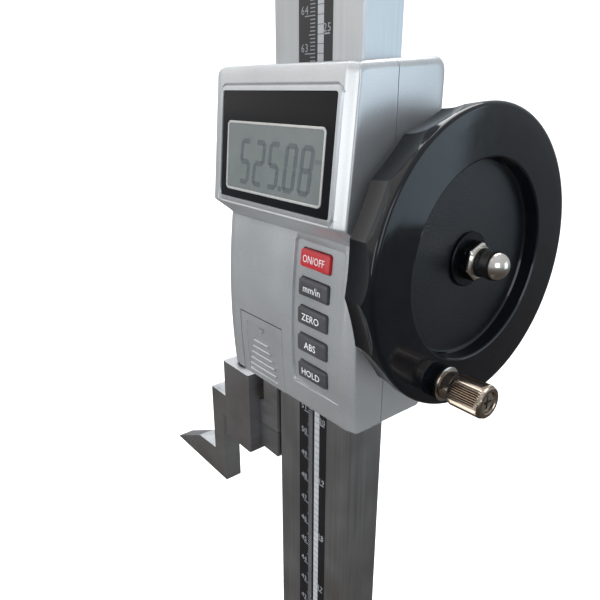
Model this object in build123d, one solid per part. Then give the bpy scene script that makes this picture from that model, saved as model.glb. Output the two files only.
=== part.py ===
from build123d import *
import math
import os

# Digital height and marking gauge: cast base, steel column, driven slider with a
# display head, handwheel feed and a clamped scriber.
# Millimetres. +Z is up, +Y is to the back, the scriber points along -X.
# The origin is on the base's underside, below the centre of the column.

# ---- driving dimensions -------------------------------------------------------
COLUMN_W = 39.5            # column, across the scale face
COLUMN_D = 15.4            # column, front to back
COLUMN_FOOT = 6.0          # column stands this high above the underside
COLUMN_TOP = 815.0
EDGE = 0.5                 # broken edges of ground steel
FIT = 0.1                  # sliding fit, per side
GAP = 0.3                  # clearance between pieces that move past each other

BASE_X = (-42.0, 108.0)
BASE_Y = (-52.0, 52.0)
BASE_H = 28.0
BASE_CORNER = 6.0
BASE_GRIP_R = 9.0          # finger groove along each side
BASE_LIP = 8.0             # width of the lapped rim under the base
BASE_RELIEF = 2.5          # depth of the hollow inside that rim
PAD_HALF = (20.0, 13.0)    # lapped pad under the column, level with the rim

STRIP_W = 15.2             # printed scale strip
STRIP_T = 0.5
STRIP_Z = (34.0, 812.0)

MODULE = 0.9               # rack and pinion
PRESSURE = math.radians(25.0)
PINION_TEETH = 12
PINION_W = 7.0
ADDENDUM = 0.85 * MODULE
DEDENDUM = 1.2 * MODULE
BACKLASH = 0.09            # taken off each flank of the pinion and rack
PITCH_R = MODULE * PINION_TEETH / 2
PITCH = math.pi * MODULE
RACK_W = 8.4
RACK_BACK = 0.8            # y of the floor of the rack slot
RACK_Z = (70.0, 800.0)

WHEEL_Y = 11.3             # handwheel and pinion axis
WHEEL_Z = 654.0
WHEEL_R = 42.6
WHEEL_FACE = 49.7          # x of the front of the rim
WHEEL_BACK = 38.6          # x of the back of the rim
WHEEL_ROUND = 1.2          # rounded front edge of the rim
WHEEL_FLOOR = 45.0         # x of the sunk disc
WEB_BACK = 41.6            # x of the back of that disc
RIM_WALL = 8.0
RECESS_R = 28.4
RECESS_EDGE = 0.5
LOBES = 17
LOBE_PHASE = 111.9         # degrees from +Y towards +Z to the middle of one hollow
SCOOP_R = 80.0             # the tool that cuts each finger hollow: radius across the rim
SCOOP_SWEEP = 23.3         # and its radius along the rim's width
SCOOP_DEPTH = 1.7          # at the back of the rim
SHAFT_R = 2.5
SHAFT_END = 54.0
HUB_R = 7.9
HUB_GAP = 0.5
WASHER_T = 1.0
NUT_CORNERS = 11.5
NUT_TURN = -10.0           # degrees the nuts stand round from a corner at the top
JAM_END = 47.6
CAP_END = 49.6
DOME_X = 53.9
DOME_R = 4.2

KNOB_R = 35.19             # crank spindle, from the wheel's axis
KNOB_ANGLE = 246.55        # degrees from +Y towards +Z
KNOB_BARREL_R = 4.75
KNOB_NECK_R = 4.25
KNOB_X = (52.4, 66.0)
KNOB_NECK = 3.0            # length of the smooth neck
BOSS_FACE = 52.0
CRANK_BOSS_R = 4.95
SPINDLE_R = 1.75
CRANK_HEAD_R = 2.9
HEAD_SUNK = 0.7

CASE_HALF = 32.85          # half the casing's width
CASE_FOOT = 601.4
CASE_CROWN = ((-21.3, 705.9), (11.5, 708.0))   # the top rises a little to the back
CASE_SEAM = -COLUMN_D / 2  # y where the front and rear casings meet
CASE_REAR = 11.5
CASE_ROUND = 3.0
WALL = 2.0
FRONT_LOW_Y = -19.4        # front face at the bottom edge
FRONT_MID = (-20.85, 627.6)
NECK = (-18.7, 659.3)      # inner corner under the display head
BROW_LOW = (-25.6, 664.5)  # lower front edge of the head
BROW_TOP = (-22.1, 702.6)
FACE_HALF = 28.75          # half width of the flat face between the side bevels
SIDE_BEVEL = 1.0           # depth of the side bevel where it meets the side

PANEL_HALF = 26.95         # black display panel, measured on the head's face
PANEL_V = (2.3, 34.6)
PANEL_T = 2.0
LCD_HALF = 23.5
LCD_V = (4.8, 25.8)
LCD_RIM = 0.6

KEY_X = (8.4, 21.7)
KEY_H = 5.5
KEY_Z = (652.1, 643.2, 634.1, 625.0, 615.6)
KEY_NAMES = ("power", "units", "zero", "absolute", "hold")
KEY_PROUD = 0.6
KEY_BACK = -16.6
FIELD_X = (4.75, 26.0)
FIELD_Z = (609.5, 657.2)
FIELD_SUNK = 0.5

DOOR_X = (-24.8, -0.6)
DOOR_TOP = 625.5
DOOR_T = 1.5

SLEEVE_Z = (606.0, 699.0)
SLEEVE_X = (-25.0, 25.5)
SLEEVE_FRONT = -11.2
BLOCK_HALF = 22.0
BLOCK_BACK = 20.0
BLOCK_Z = (612.0, 696.0)
GIB_T = 1.4
CHEEK_X = (-29.2, -20.4)
CHEEK_Y = (-8.7, 7.3)
JAW_Y = (-8.7, -0.8)
JAW_Z = (571.6, 581.6)
JAW_END = -54.0

CLAMP_X = (-50.7, -32.4)
CLAMP_Y = (-14.0, 3.4)
CLAMP_Z = (558.4, 593.6)
CLAMP_SCREW = (-43.0, -6.0)
THUMB_R = 5.0
THUMB_H = 2.2
THREAD_R = 3.0

SCRIBER_TOP = 571.4
SHANK_Z = 560.6
SCRIBER_BAR = (-70.9, -61.9)
SCRIBER_FOOT = 525.1
SCRIBER_TIP = -109.5


# ---- small helpers ---------------------------------------------------------------
def block(x0, x1, y0, y1, z0, z1):
    """A box between two corners."""
    centre = ((x0 + x1) / 2, (y0 + y1) / 2, (z0 + z1) / 2)
    return Pos(*centre) * Box(abs(x1 - x0), abs(y1 - y0), abs(z1 - z0))


def rod_x(x0, x1, y, z, radius):
    """A round bar along X."""
    return Pos((x0 + x1) / 2, y, z) * Rot(0, 90, 0) * Cylinder(radius, x1 - x0)


def rod_y(x, y0, y1, z, radius):
    """A round bar along Y."""
    return Pos(x, (y0 + y1) / 2, z) * Rot(90, 0, 0) * Cylinder(radius, y1 - y0)


def rod_z(x, y, z0, z1, radius):
    """A round bar along Z."""
    return Pos(x, y, (z0 + z1) / 2) * Cylinder(radius, z1 - z0)


def prism_x(points, half, middle=0.0):
    """A (y, z) outline carried along X to both sides of the middle."""
    face = Plane.YZ.offset(middle) * make_face(Polyline(*points, close=True))
    return extrude(face, amount=half, both=True)


def prism_y(points, y0, y1):
    """An (x, z) outline carried along Y."""
    outline = Polyline(*[(x, y0, z) for x, z in points], close=True)
    return extrude(make_face(outline), amount=y1 - y0, dir=(0, 1, 0))


def save(shape, node):
    export_step(shape, f"parts/{node}.step")


def group(solids):
    return Compound(children=list(solids))


def case_top(y):
    """Height of the casing's top at a y."""
    (y0, z0), (y1, z1) = CASE_CROWN
    return z0 + (z1 - z0) * (y - y0) / (y1 - y0)


def body_front(z):
    """Front of the lower casing: a shallow curve bulging forwards at mid height."""
    low_rise = FRONT_LOW_Y - FRONT_MID[0]
    slope = low_rise / (FRONT_MID[1] - CASE_FOOT) ** 2
    return FRONT_MID[0] + slope * (z - FRONT_MID[1]) ** 2


TILT = math.atan2(BROW_TOP[0] - BROW_LOW[0], BROW_TOP[1] - BROW_LOW[1])
HEAD_NORMAL = Vector(0, -math.cos(TILT), math.sin(TILT))
HEAD_FACE = Plane(origin=(0, *BROW_LOW), x_dir=(1, 0, 0), z_dir=HEAD_NORMAL)


def on_head(u_half, v0, v1, w0, w1):
    """A box on the head's inclined face: u across, v up the face, w out of it."""
    middle = ((v0 + v1) / 2, (w0 + w1) / 2)
    return HEAD_FACE * Pos(0, *middle) * Box(2 * u_half, v1 - v0, w1 - w0)


def cap_screw_down(x, y, z_head, head_r, head_h, shank_r, length):
    """A cap screw standing on its head's seat, shank downwards."""
    head = rod_z(x, y, z_head, z_head + head_h, head_r)
    socket = rod_z(x, y, z_head + head_h / 2, z_head + head_h + 1, head_r / 2)
    return head + rod_z(x, y, z_head - length, z_head, shank_r) - socket


os.makedirs("parts", exist_ok=True)

# ---- base ------------------------------------------------------------------------
base = block(*BASE_X, *BASE_Y, 0, BASE_H)
base = fillet(base.edges().filter_by(Axis.Z), BASE_CORNER)
base = chamfer(base.faces().sort_by(Axis.Z)[-1].edges(), 2.0)
relief = block(
    BASE_X[0] + BASE_LIP, BASE_X[1] - BASE_LIP,
    BASE_Y[0] + BASE_LIP, BASE_Y[1] - BASE_LIP, -1, BASE_RELIEF,
)
relief -= block(-PAD_HALF[0], PAD_HALF[0], -PAD_HALF[1], PAD_HALF[1], -2, BASE_RELIEF + 1)
base -= relief
for side in (-1, 1):
    grip_y = side * (BASE_Y[1] + BASE_GRIP_R / 2)
    base -= rod_x(BASE_X[0] + 30, BASE_X[1] - 20, grip_y, BASE_H / 2, BASE_GRIP_R)
base -= block(
    -COLUMN_W / 2, COLUMN_W / 2, -COLUMN_D / 2, COLUMN_D / 2, COLUMN_FOOT, BASE_H + 1,
)
BOLT_X = 11.0
BOLT_R = 2.5
BOLT_HEAD_R = 4.25
for side in (-1, 1):
    base -= rod_z(side * BOLT_X, 0, -1, COLUMN_FOOT + 1, BOLT_R + GAP)
    base -= rod_z(side * BOLT_X, 0, -1, COLUMN_FOOT - 1.2, BOLT_HEAD_R + GAP)
save(base, "base_casting")

# ---- column ------------------------------------------------------------------------
column = block(
    -COLUMN_W / 2, COLUMN_W / 2, -COLUMN_D / 2, COLUMN_D / 2, COLUMN_FOOT, COLUMN_TOP,
)
column = chamfer(column.edges().filter_by(Axis.Z), EDGE)
column -= block(
    -STRIP_W / 2, STRIP_W / 2, -COLUMN_D / 2 - 1, -COLUMN_D / 2 + STRIP_T, *STRIP_Z,
)
column -= block(-RACK_W / 2, RACK_W / 2, RACK_BACK, COLUMN_D / 2 + 1, *RACK_Z)
BOLT_LENGTH = 18.0
for side in (-1, 1):
    column -= rod_z(side * BOLT_X, 0, COLUMN_FOOT - 1, COLUMN_FOOT + BOLT_LENGTH, BOLT_R)
    column -= rod_z(side * BOLT_X, 0, COLUMN_TOP - 12, COLUMN_TOP + 1, BOLT_R)
RACK_SCREW_Z = (90.0, 430.0, 780.0)
RACK_SCREW_R = 1.2
for z in RACK_SCREW_Z:
    column -= rod_y(0, RACK_BACK - 4.5, RACK_BACK + 1, z, RACK_SCREW_R)
save(column, "column_beam")

bolts = []
for side in (-1, 1):
    x = side * BOLT_X
    bolt = rod_z(x, 0, COLUMN_FOOT - 1.2 - 1.6, COLUMN_FOOT - 1.2, BOLT_HEAD_R)
    bolt += rod_z(x, 0, COLUMN_FOOT - 1.2, COLUMN_FOOT + BOLT_LENGTH - 2, BOLT_R)
    bolts.append(bolt)
save(group(bolts), "column_bolts")

strip = block(
    -STRIP_W / 2, STRIP_W / 2, -COLUMN_D / 2, -COLUMN_D / 2 + STRIP_T, *STRIP_Z,
)
save(strip, "scale_strip")

# ---- rack and pinion -----------------------------------------------------------------
PITCH_Y = WHEEL_Y - PITCH_R            # y of the rack's pitch line
tip_half = PITCH / 4 - ADDENDUM * math.tan(PRESSURE) - BACKLASH
root_half = PITCH / 4 + DEDENDUM * math.tan(PRESSURE) - BACKLASH
tip_y = PITCH_Y + ADDENDUM
root_y = PITCH_Y - DEDENDUM
first = math.ceil((RACK_Z[0] + PITCH - WHEEL_Z) / PITCH)
last = math.floor((RACK_Z[1] - PITCH - WHEEL_Z) / PITCH)
outline = [(RACK_BACK, RACK_Z[0]), (root_y, RACK_Z[0])]
for index in range(first, last + 1):
    tooth = WHEEL_Z + index * PITCH
    outline += [
        (root_y, tooth - root_half),
        (tip_y, tooth - tip_half),
        (tip_y, tooth + tip_half),
        (root_y, tooth + root_half),
    ]
outline += [(root_y, RACK_Z[1]), (RACK_BACK, RACK_Z[1])]
rack = prism_x(outline, RACK_W / 2)
SCREW_SINK = 2.0                       # rack screw heads lie this far below the roots
for z in RACK_SCREW_Z:
    rack -= rod_y(0, RACK_BACK - 1, tip_y + 1, z, RACK_SCREW_R)
    rack -= rod_y(0, root_y - SCREW_SINK, tip_y + 1, z, 2 * RACK_SCREW_R)
save(rack, "rack_strip")

rack_screws = []
for z in RACK_SCREW_Z:
    screw = rod_y(0, root_y - SCREW_SINK, root_y - GAP, z, 2 * RACK_SCREW_R)
    screw += rod_y(0, RACK_BACK - 4, root_y - SCREW_SINK, z, RACK_SCREW_R)
    rack_screws.append(screw)
save(group(rack_screws), "rack_screws")


def involute(radius_base, radius):
    """Angle of the involute of a base circle at a radius."""
    ratio = math.sqrt((radius / radius_base) ** 2 - 1)
    return ratio - math.atan(ratio)


base_r = PITCH_R * math.cos(PRESSURE)
tip_r = PITCH_R + ADDENDUM
root_r = PITCH_R - DEDENDUM
half_at_pitch = math.pi / (2 * PINION_TEETH) - BACKLASH / PITCH_R
FLANK_STEPS = 5
flank = []
for step in range(FLANK_STEPS + 1):
    radius = base_r + 0.01 + (tip_r - base_r - 0.01) * step / FLANK_STEPS
    half = half_at_pitch + involute(base_r, PITCH_R) - involute(base_r, radius)
    flank.append((radius, half))
flank = [(root_r, flank[0][1] + 0.03)] + flank
pinion_points = []
for tooth in range(PINION_TEETH):
    # a tooth gap faces the rack tooth that lies level with the axis
    centre = math.pi + (tooth + 0.5) * 2 * math.pi / PINION_TEETH
    for radius, half in flank:
        angle = centre - half
        pinion_points.append(
            (WHEEL_Y + radius * math.cos(angle), WHEEL_Z + radius * math.sin(angle))
        )
    for radius, half in reversed(flank):
        angle = centre + half
        pinion_points.append(
            (WHEEL_Y + radius * math.cos(angle), WHEEL_Z + radius * math.sin(angle))
        )
pinion = prism_x(pinion_points, PINION_W / 2)
pinion -= rod_x(-PINION_W, PINION_W, WHEEL_Y, WHEEL_Z, SHAFT_R)
save(pinion, "drive_pinion")

# ---- top stop --------------------------------------------------------------------------
STOP_T = 6.0
STOP_OVER = 2.0
stop = block(
    -COLUMN_W / 2 - STOP_OVER, COLUMN_W / 2 + STOP_OVER,
    -COLUMN_D / 2 - STOP_OVER, COLUMN_D / 2 + STOP_OVER, COLUMN_TOP, COLUMN_TOP + STOP_T,
)
stop = chamfer(stop.faces().sort_by(Axis.Z)[-1].edges(), 1.0)
STOP_SEAT = COLUMN_TOP + STOP_T - 3.2
stop_screws = []
for side in (-1, 1):
    x = side * BOLT_X
    stop -= rod_z(x, 0, COLUMN_TOP - 1, COLUMN_TOP + STOP_T + 1, BOLT_R)
    stop -= rod_z(x, 0, STOP_SEAT, COLUMN_TOP + STOP_T + 1, BOLT_HEAD_R)
    stop_screws.append(cap_screw_down(x, 0, STOP_SEAT, BOLT_HEAD_R, 2.8, BOLT_R, 12))
save(stop, "top_stop")
save(group(stop_screws), "top_stop_screws")

# ---- slider frame with the jaw ------------------------------------------------------------
BORE_X = (-COLUMN_W / 2 - FIT, COLUMN_W / 2 + FIT + GIB_T + FIT)
BORE_Y = (-COLUMN_D / 2 - FIT, COLUMN_D / 2 + FIT)
POCKET_R = 6.9
BOSS_R = 6.4
BOSS_END = 36.2
BUSH_R = 4.0
BUSH_X = (24.0, BOSS_END)
STUB_R = 1.6
frame = block(*SLEEVE_X, SLEEVE_FRONT, BORE_Y[1] + 1, *SLEEVE_Z)
frame += block(-BLOCK_HALF, BLOCK_HALF, BORE_Y[1] - 1, BLOCK_BACK, *BLOCK_Z)
frame += rod_x(BLOCK_HALF - 2, BOSS_END, WHEEL_Y, WHEEL_Z, BOSS_R)
CHEEK_TOP = 611.0
frame += block(*CHEEK_X, *CHEEK_Y, JAW_Z[0], SLEEVE_Z[0])
frame += block(CHEEK_X[0], BORE_X[0] - 1, *CHEEK_Y, SLEEVE_Z[0] - 1, CHEEK_TOP)
frame += block(JAW_END, CHEEK_X[0] + 1, *JAW_Y, *JAW_Z)
frame -= block(*BORE_X, *BORE_Y, SLEEVE_Z[0] - 1, SLEEVE_Z[1] + 1)
READER_HALF = 13.0
READER_Z = (628.0, 690.0)
frame -= block(-READER_HALF, READER_HALF, SLEEVE_FRONT - 1, 0, *READER_Z)
frame -= rod_x(-PINION_W / 2 - GAP * 2, PINION_W / 2 + GAP * 2, WHEEL_Y, WHEEL_Z, POCKET_R)
frame -= block(
    -PINION_W / 2 - GAP * 2, PINION_W / 2 + GAP * 2, WHEEL_Y, BLOCK_BACK + 1,
    WHEEL_Z - POCKET_R, WHEEL_Z + POCKET_R,
)
frame -= rod_x(0, BOSS_END + 1, WHEEL_Y, WHEEL_Z, SHAFT_R + GAP)
frame -= rod_x(BUSH_X[0], BOSS_END + 1, WHEEL_Y, WHEEL_Z, BUSH_R)
frame -= rod_x(-15, 0, WHEEL_Y, WHEEL_Z, STUB_R + 0.05)
GIB_SCREW_Z = (620.0, 638.0, 675.0, 690.0)
GIB_SCREW_R = 1.5
for z in GIB_SCREW_Z:
    frame -= rod_x(COLUMN_W / 2, SLEEVE_X[1] + 1, 0, z, GIB_SCREW_R)
LOCK_Z = 624.0
LOCK_R = 3.0
frame -= rod_y(0, BORE_Y[1] - 2, BLOCK_BACK + 1, LOCK_Z, LOCK_R + 0.05)
COVER_X = 10.0
COVER_Z = 13.0
COVER_SCREW_R = 1.2
COVER_T = 2.0
for sx in (-1, 1):
    for sz in (-1, 1):
        x = sx * (COVER_X - 2.5)
        z = WHEEL_Z + sz * (COVER_Z - 2.5)
        frame -= rod_y(x, BLOCK_BACK - 6, BLOCK_BACK + 1, z, COVER_SCREW_R)
save(frame, "slider_frame")

GIB_X = (BORE_X[1] - GIB_T - 0.02, BORE_X[1] - 0.02)
gib = block(*GIB_X, BORE_Y[0] + 1, BORE_Y[1] - 1, SLEEVE_Z[0] + 1, SLEEVE_Z[1] - 1)
save(gib, "gib_strip")
gib_screws = []
for z in GIB_SCREW_Z:
    screw = rod_x(GIB_X[1], SLEEVE_X[1], 0, z, GIB_SCREW_R)
    screw -= block(SLEEVE_X[1] - 1, SLEEVE_X[1] + 1, -0.3, 0.3, z - 2, z + 2)
    gib_screws.append(screw)
save(group(gib_screws), "gib_screws")

bush = rod_x(*BUSH_X, WHEEL_Y, WHEEL_Z, BUSH_R)
bush -= rod_x(BUSH_X[0] - 1, BUSH_X[1] + 1, WHEEL_Y, WHEEL_Z, SHAFT_R + 0.05)
save(bush, "shaft_bush")

cover = block(
    -COVER_X, COVER_X, BLOCK_BACK, BLOCK_BACK + COVER_T, WHEEL_Z - COVER_Z, WHEEL_Z + COVER_Z,
)
cover = chamfer(cover.faces().sort_by(Axis.Y)[-1].edges(), 0.4)
cover_screws = []
for sx in (-1, 1):
    for sz in (-1, 1):
        x = sx * (COVER_X - 2.5)
        z = WHEEL_Z + sz * (COVER_Z - 2.5)
        cover -= rod_y(x, BLOCK_BACK - 1, BLOCK_BACK + COVER_T + 1, z, COVER_SCREW_R)
        screw = rod_y(x, BLOCK_BACK - 5, BLOCK_BACK + COVER_T, z, COVER_SCREW_R)
        screw += rod_y(x, BLOCK_BACK + COVER_T, BLOCK_BACK + COVER_T + 1.2, z, 2.2)
        slot_y = BLOCK_BACK + COVER_T + 0.6
        screw -= block(x - 0.3, x + 0.3, slot_y, slot_y + 1, z - 3, z + 3)
        cover_screws.append(screw)
save(cover, "pinion_cover")
save(group(cover_screws), "pinion_cover_screws")

# ---- slide lock at the back ---------------------------------------------------------------------
SHOE_Y = (BORE_Y[1], BORE_Y[1] + 2.0)
LOCK_HEAD = (BLOCK_BACK + 0.4, BLOCK_BACK + 10.4)
LOCK_HEAD_R = 6.5
save(rod_y(0, *SHOE_Y, LOCK_Z, LOCK_R - 0.05), "lock_shoe")
lock = rod_y(0, SHOE_Y[1] + 0.05, LOCK_HEAD[0], LOCK_Z, LOCK_R)
lock += rod_y(0, *LOCK_HEAD, LOCK_Z, LOCK_HEAD_R)
lock = chamfer(lock.faces().sort_by(Axis.Y)[-1].edges(), 0.8)
save(lock, "lock_screw")

# ---- handwheel group ---------------------------------------------------------------------------
HUB_BACK = BOSS_END + HUB_GAP
wheel = rod_x(WHEEL_BACK, WHEEL_FACE, WHEEL_Y, WHEEL_Z, WHEEL_R)
wheel = fillet(wheel.faces().sort_by(Axis.X)[-1].edges(), WHEEL_ROUND)
wheel -= rod_x(WHEEL_FLOOR, WHEEL_FACE + 1, WHEEL_Y, WHEEL_Z, RECESS_R)
wheel -= rod_x(WHEEL_FACE - RECESS_EDGE, WHEEL_FACE + 1, WHEEL_Y, WHEEL_Z, RECESS_R + RECESS_EDGE)
wheel -= rod_x(WHEEL_BACK - 1, WEB_BACK, WHEEL_Y, WHEEL_Z, WHEEL_R - RIM_WALL)
wheel += rod_x(HUB_BACK, WHEEL_FLOOR, WHEEL_Y, WHEEL_Z, HUB_R)
cutter = Rot(0, 90, 0) * Torus(SCOOP_R - SCOOP_SWEEP, SCOOP_SWEEP)
cutter = Pos(WHEEL_BACK, WHEEL_R - SCOOP_DEPTH + SCOOP_R, 0) * cutter
for lobe in range(LOBES):
    turn = LOBE_PHASE + 360 * lobe / LOBES
    wheel -= Pos(0, WHEEL_Y, WHEEL_Z) * Rot(turn, 0, 0) * cutter
knob_y = WHEEL_Y + KNOB_R * math.cos(math.radians(KNOB_ANGLE))
knob_z = WHEEL_Z + KNOB_R * math.sin(math.radians(KNOB_ANGLE))
wheel += rod_x(WHEEL_FACE - 2, BOSS_FACE, knob_y, knob_z, CRANK_BOSS_R)
wheel -= rod_x(WHEEL_BACK - 1, BOSS_FACE + 1, knob_y, knob_z, SPINDLE_R)
wheel -= rod_x(HUB_BACK - 1, WHEEL_FLOOR + 1, WHEEL_Y, WHEEL_Z, SHAFT_R)
save(wheel, "handwheel")

shaft = rod_x(-PINION_W / 2 - 0.4, SHAFT_END, WHEEL_Y, WHEEL_Z, SHAFT_R)
shaft += rod_x(-14.0, -PINION_W / 2 - 0.4, WHEEL_Y, WHEEL_Z, STUB_R)
save(shaft, "pinion_shaft")

washer = rod_x(WHEEL_FLOOR, WHEEL_FLOOR + WASHER_T, WHEEL_Y, WHEEL_Z, HUB_R)
washer -= rod_x(WHEEL_FLOOR - 1, WHEEL_FLOOR + 2, WHEEL_Y, WHEEL_Z, SHAFT_R)
save(washer, "hub_washer")


def hexagon_x(x0, x1, y, z, across_corners):
    """A hexagonal prism along X, turned a little from corners up and down."""
    turned = math.radians(NUT_TURN)
    up = (0, -math.sin(turned), math.cos(turned))
    side = Plane(origin=(x0, y, z), x_dir=up, z_dir=(1, 0, 0))
    return extrude(side * RegularPolygon(across_corners / 2, 6), amount=x1 - x0)


JAM_X = (WHEEL_FLOOR + WASHER_T, JAM_END)
jam = hexagon_x(*JAM_X, WHEEL_Y, WHEEL_Z, NUT_CORNERS)
jam -= rod_x(JAM_X[0] - 1, JAM_X[1] + 1, WHEEL_Y, WHEEL_Z, SHAFT_R)
save(jam, "hub_nut")
dome = hexagon_x(JAM_END, CAP_END, WHEEL_Y, WHEEL_Z, NUT_CORNERS)
dome += rod_x(CAP_END, DOME_X, WHEEL_Y, WHEEL_Z, DOME_R)
dome += Pos(DOME_X, WHEEL_Y, WHEEL_Z) * Sphere(DOME_R)
dome -= rod_x(JAM_END - 1, SHAFT_END, WHEEL_Y, WHEEL_Z, SHAFT_R)
save(dome, "dome_nut")

# ---- crank knob ------------------------------------------------------------------------------------
NECK_X = KNOB_X[0] + KNOB_NECK
knob = rod_x(KNOB_X[0], NECK_X, knob_y, knob_z, KNOB_NECK_R)
barrel = rod_x(NECK_X, KNOB_X[1], knob_y, knob_z, KNOB_BARREL_R)
barrel = chamfer(barrel.edges().filter_by(GeomType.CIRCLE), 0.5)
knob += barrel
knob -= rod_x(KNOB_X[0] - 1, KNOB_X[1] + 1, knob_y, knob_z, SPINDLE_R + 0.06)
knob -= rod_x(KNOB_X[1] - 2.6, KNOB_X[1] + 1, knob_y, knob_z, CRANK_HEAD_R + 0.1)
save(knob, "crank_knob")

ring = rod_x(BOSS_FACE, KNOB_X[0] - 0.1, knob_y, knob_z, CRANK_BOSS_R)
ring -= rod_x(BOSS_FACE - 1, KNOB_X[0] + 1, knob_y, knob_z, SPINDLE_R)
save(ring, "crank_washer")

HEAD_X = (KNOB_X[1] - 2.5, KNOB_X[1] - HEAD_SUNK)
spindle = rod_x(WHEEL_BACK + 1, HEAD_X[0], knob_y, knob_z, SPINDLE_R)
spindle += rod_x(*HEAD_X, knob_y, knob_z, CRANK_HEAD_R)
for across in ((0.4, 2.0), (2.0, 0.4)):
    spindle -= block(
        HEAD_X[1] - 1, HEAD_X[1] + 1, knob_y - across[0], knob_y + across[0],
        knob_z - across[1], knob_z + across[1],
    )
save(spindle, "crank_spindle")

# ---- casings -----------------------------------------------------------------------------------------
CURVE_STEPS = 6
heights = [CASE_FOOT + (NECK[1] - CASE_FOOT) * i / CURVE_STEPS for i in range(CURVE_STEPS + 1)]
lower_front = [(body_front(z), z) for z in heights]
lower_front[-1] = NECK
outer = [(CASE_SEAM, CASE_FOOT)] + lower_front
outer += [BROW_LOW, BROW_TOP, CASE_CROWN[0], (CASE_SEAM, case_top(CASE_SEAM))]
front = prism_x(outer, CASE_HALF)
inner = [(CASE_SEAM + 1, CASE_FOOT + WALL)]
inner += [(y + WALL, max(z, CASE_FOOT + WALL)) for y, z in lower_front[:-1]]
inner += [
    (NECK[0] + WALL, NECK[1] + WALL), (BROW_LOW[0] + 3.4, BROW_LOW[1] + 1.6),
    (BROW_TOP[0] + 3.4, BROW_TOP[1]), (CASE_SEAM + 1, case_top(CASE_SEAM) - WALL),
]
front -= prism_x(inner, CASE_HALF - WALL)
bevel_reach = SIDE_BEVEL * (CASE_HALF + 1 - FACE_HALF) / (CASE_HALF - FACE_HALF)
HEAD_BELOW = -6.0                      # the bevel tool starts below the head's face
for side in (-1, 1):
    corner = [
        (side * (CASE_HALF + 1), -bevel_reach), (side * (CASE_HALF + 1), 1.0),
        (side * FACE_HALF, 1.0), (side * FACE_HALF, 0.0),
    ]
    points = [HEAD_FACE.from_local_coords((x, HEAD_BELOW, w)) for x, w in corner]
    wedge = make_face(Polyline(*points, close=True))
    front -= extrude(wedge, amount=60, dir=HEAD_FACE.y_dir)
front -= on_head(PANEL_HALF + 0.1, PANEL_V[0] - 0.1, PANEL_V[1] + 0.1, -PANEL_T, 2)
front -= on_head(PANEL_HALF - 2.2, PANEL_V[0] + 1.8, PANEL_V[1] - 4.0, -8, 2)
field = []
for z in (FIELD_Z[0], (FIELD_Z[0] + FIELD_Z[1]) / 2, FIELD_Z[1]):
    field.append((body_front(z) + FIELD_SUNK, z))
field += [(FRONT_MID[0] - 3, FIELD_Z[1]), (FRONT_MID[0] - 3, FIELD_Z[0])]
front -= prism_x(field, (FIELD_X[1] - FIELD_X[0]) / 2, (FIELD_X[0] + FIELD_X[1]) / 2)
for z in KEY_Z:
    front -= block(
        KEY_X[0] - GAP, KEY_X[1] + GAP, -30, KEY_BACK + 6,
        z - KEY_H / 2 - GAP, z + KEY_H / 2 + GAP,
    )
front -= block(DOOR_X[0] - GAP, DOOR_X[1] + GAP, -30, -15, CASE_FOOT - 1, DOOR_TOP + GAP)
# the column and the slider's cheek pass through the end walls
front -= block(
    -COLUMN_W / 2 - 0.5, COLUMN_W / 2 + 0.5, CASE_SEAM - 0.5, 0, CASE_FOOT - 1, CASE_CROWN[1][1] + 1,
)
front -= block(
    CHEEK_X[0] - 0.4, 0, CHEEK_Y[0] - 0.4, 0, CASE_FOOT - 1, CASE_FOOT + WALL + 1,
)
SCREW_X = 28.3
CASE_SCREW_Z = (616.5, 699.0)
CASE_SCREW_R = 1.1
FRONT_BOSS_Y = -19.6
for side in (-1, 1):
    for z in CASE_SCREW_Z:
        front += rod_y(side * SCREW_X, FRONT_BOSS_Y, CASE_SEAM, z, 2.4)
        front -= rod_y(side * SCREW_X, -14.0, CASE_SEAM + 1, z, CASE_SCREW_R)
save(front, "front_casing")

rear_outline = [
    (CASE_SEAM, CASE_FOOT), (CASE_REAR, CASE_FOOT),
    (CASE_REAR, case_top(CASE_REAR)), (CASE_SEAM, case_top(CASE_SEAM)),
]
rear = prism_x(rear_outline, CASE_HALF)
rear = fillet(rear.faces().sort_by(Axis.Y)[-1].edges(), CASE_ROUND)
rear -= block(
    -CASE_HALF + WALL, CASE_HALF - WALL, CASE_SEAM - 1, CASE_REAR - WALL,
    CASE_FOOT + WALL, case_top(CASE_SEAM) - WALL,
)
rear -= block(
    -BLOCK_HALF - GAP, BLOCK_HALF + GAP, 0, CASE_REAR + 1, BLOCK_Z[0] - GAP, BLOCK_Z[1] + GAP,
)
rear -= block(
    -COLUMN_W / 2 - 0.5, COLUMN_W / 2 + 0.5, CASE_SEAM - 1, COLUMN_D / 2 + 0.5,
    CASE_FOOT - 1, CASE_CROWN[1][1] + 1,
)
rear -= block(
    CHEEK_X[0] - 0.4, 0, CASE_SEAM - 1, CHEEK_Y[1] + 0.4, CASE_FOOT - 1, CASE_FOOT + WALL + 1,
)
rear -= rod_x(BLOCK_HALF - 4, CASE_HALF + 1, WHEEL_Y, WHEEL_Z, BOSS_R + GAP)
rear -= block(
    BLOCK_HALF - 4, CASE_HALF + 1, WHEEL_Y, CASE_REAR + 1,
    WHEEL_Z - BOSS_R - GAP, WHEEL_Z + BOSS_R + GAP,
)
case_screws = []
for side in (-1, 1):
    for z in CASE_SCREW_Z:
        x = side * SCREW_X
        rear += rod_y(x, CASE_SEAM, CASE_REAR - 1, z, 2.4)
        rear -= rod_y(x, CASE_SEAM - 1, CASE_REAR + 1, z, CASE_SCREW_R)
        rear -= rod_y(x, CASE_REAR - 1.6, CASE_REAR + 1, z, 2.1)
        screw = rod_y(x, -13.5, CASE_REAR - 1.6, z, CASE_SCREW_R)
        screw += rod_y(x, CASE_REAR - 1.6, CASE_REAR - 0.3, z, 2.1)
        case_screws.append(screw)
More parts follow.
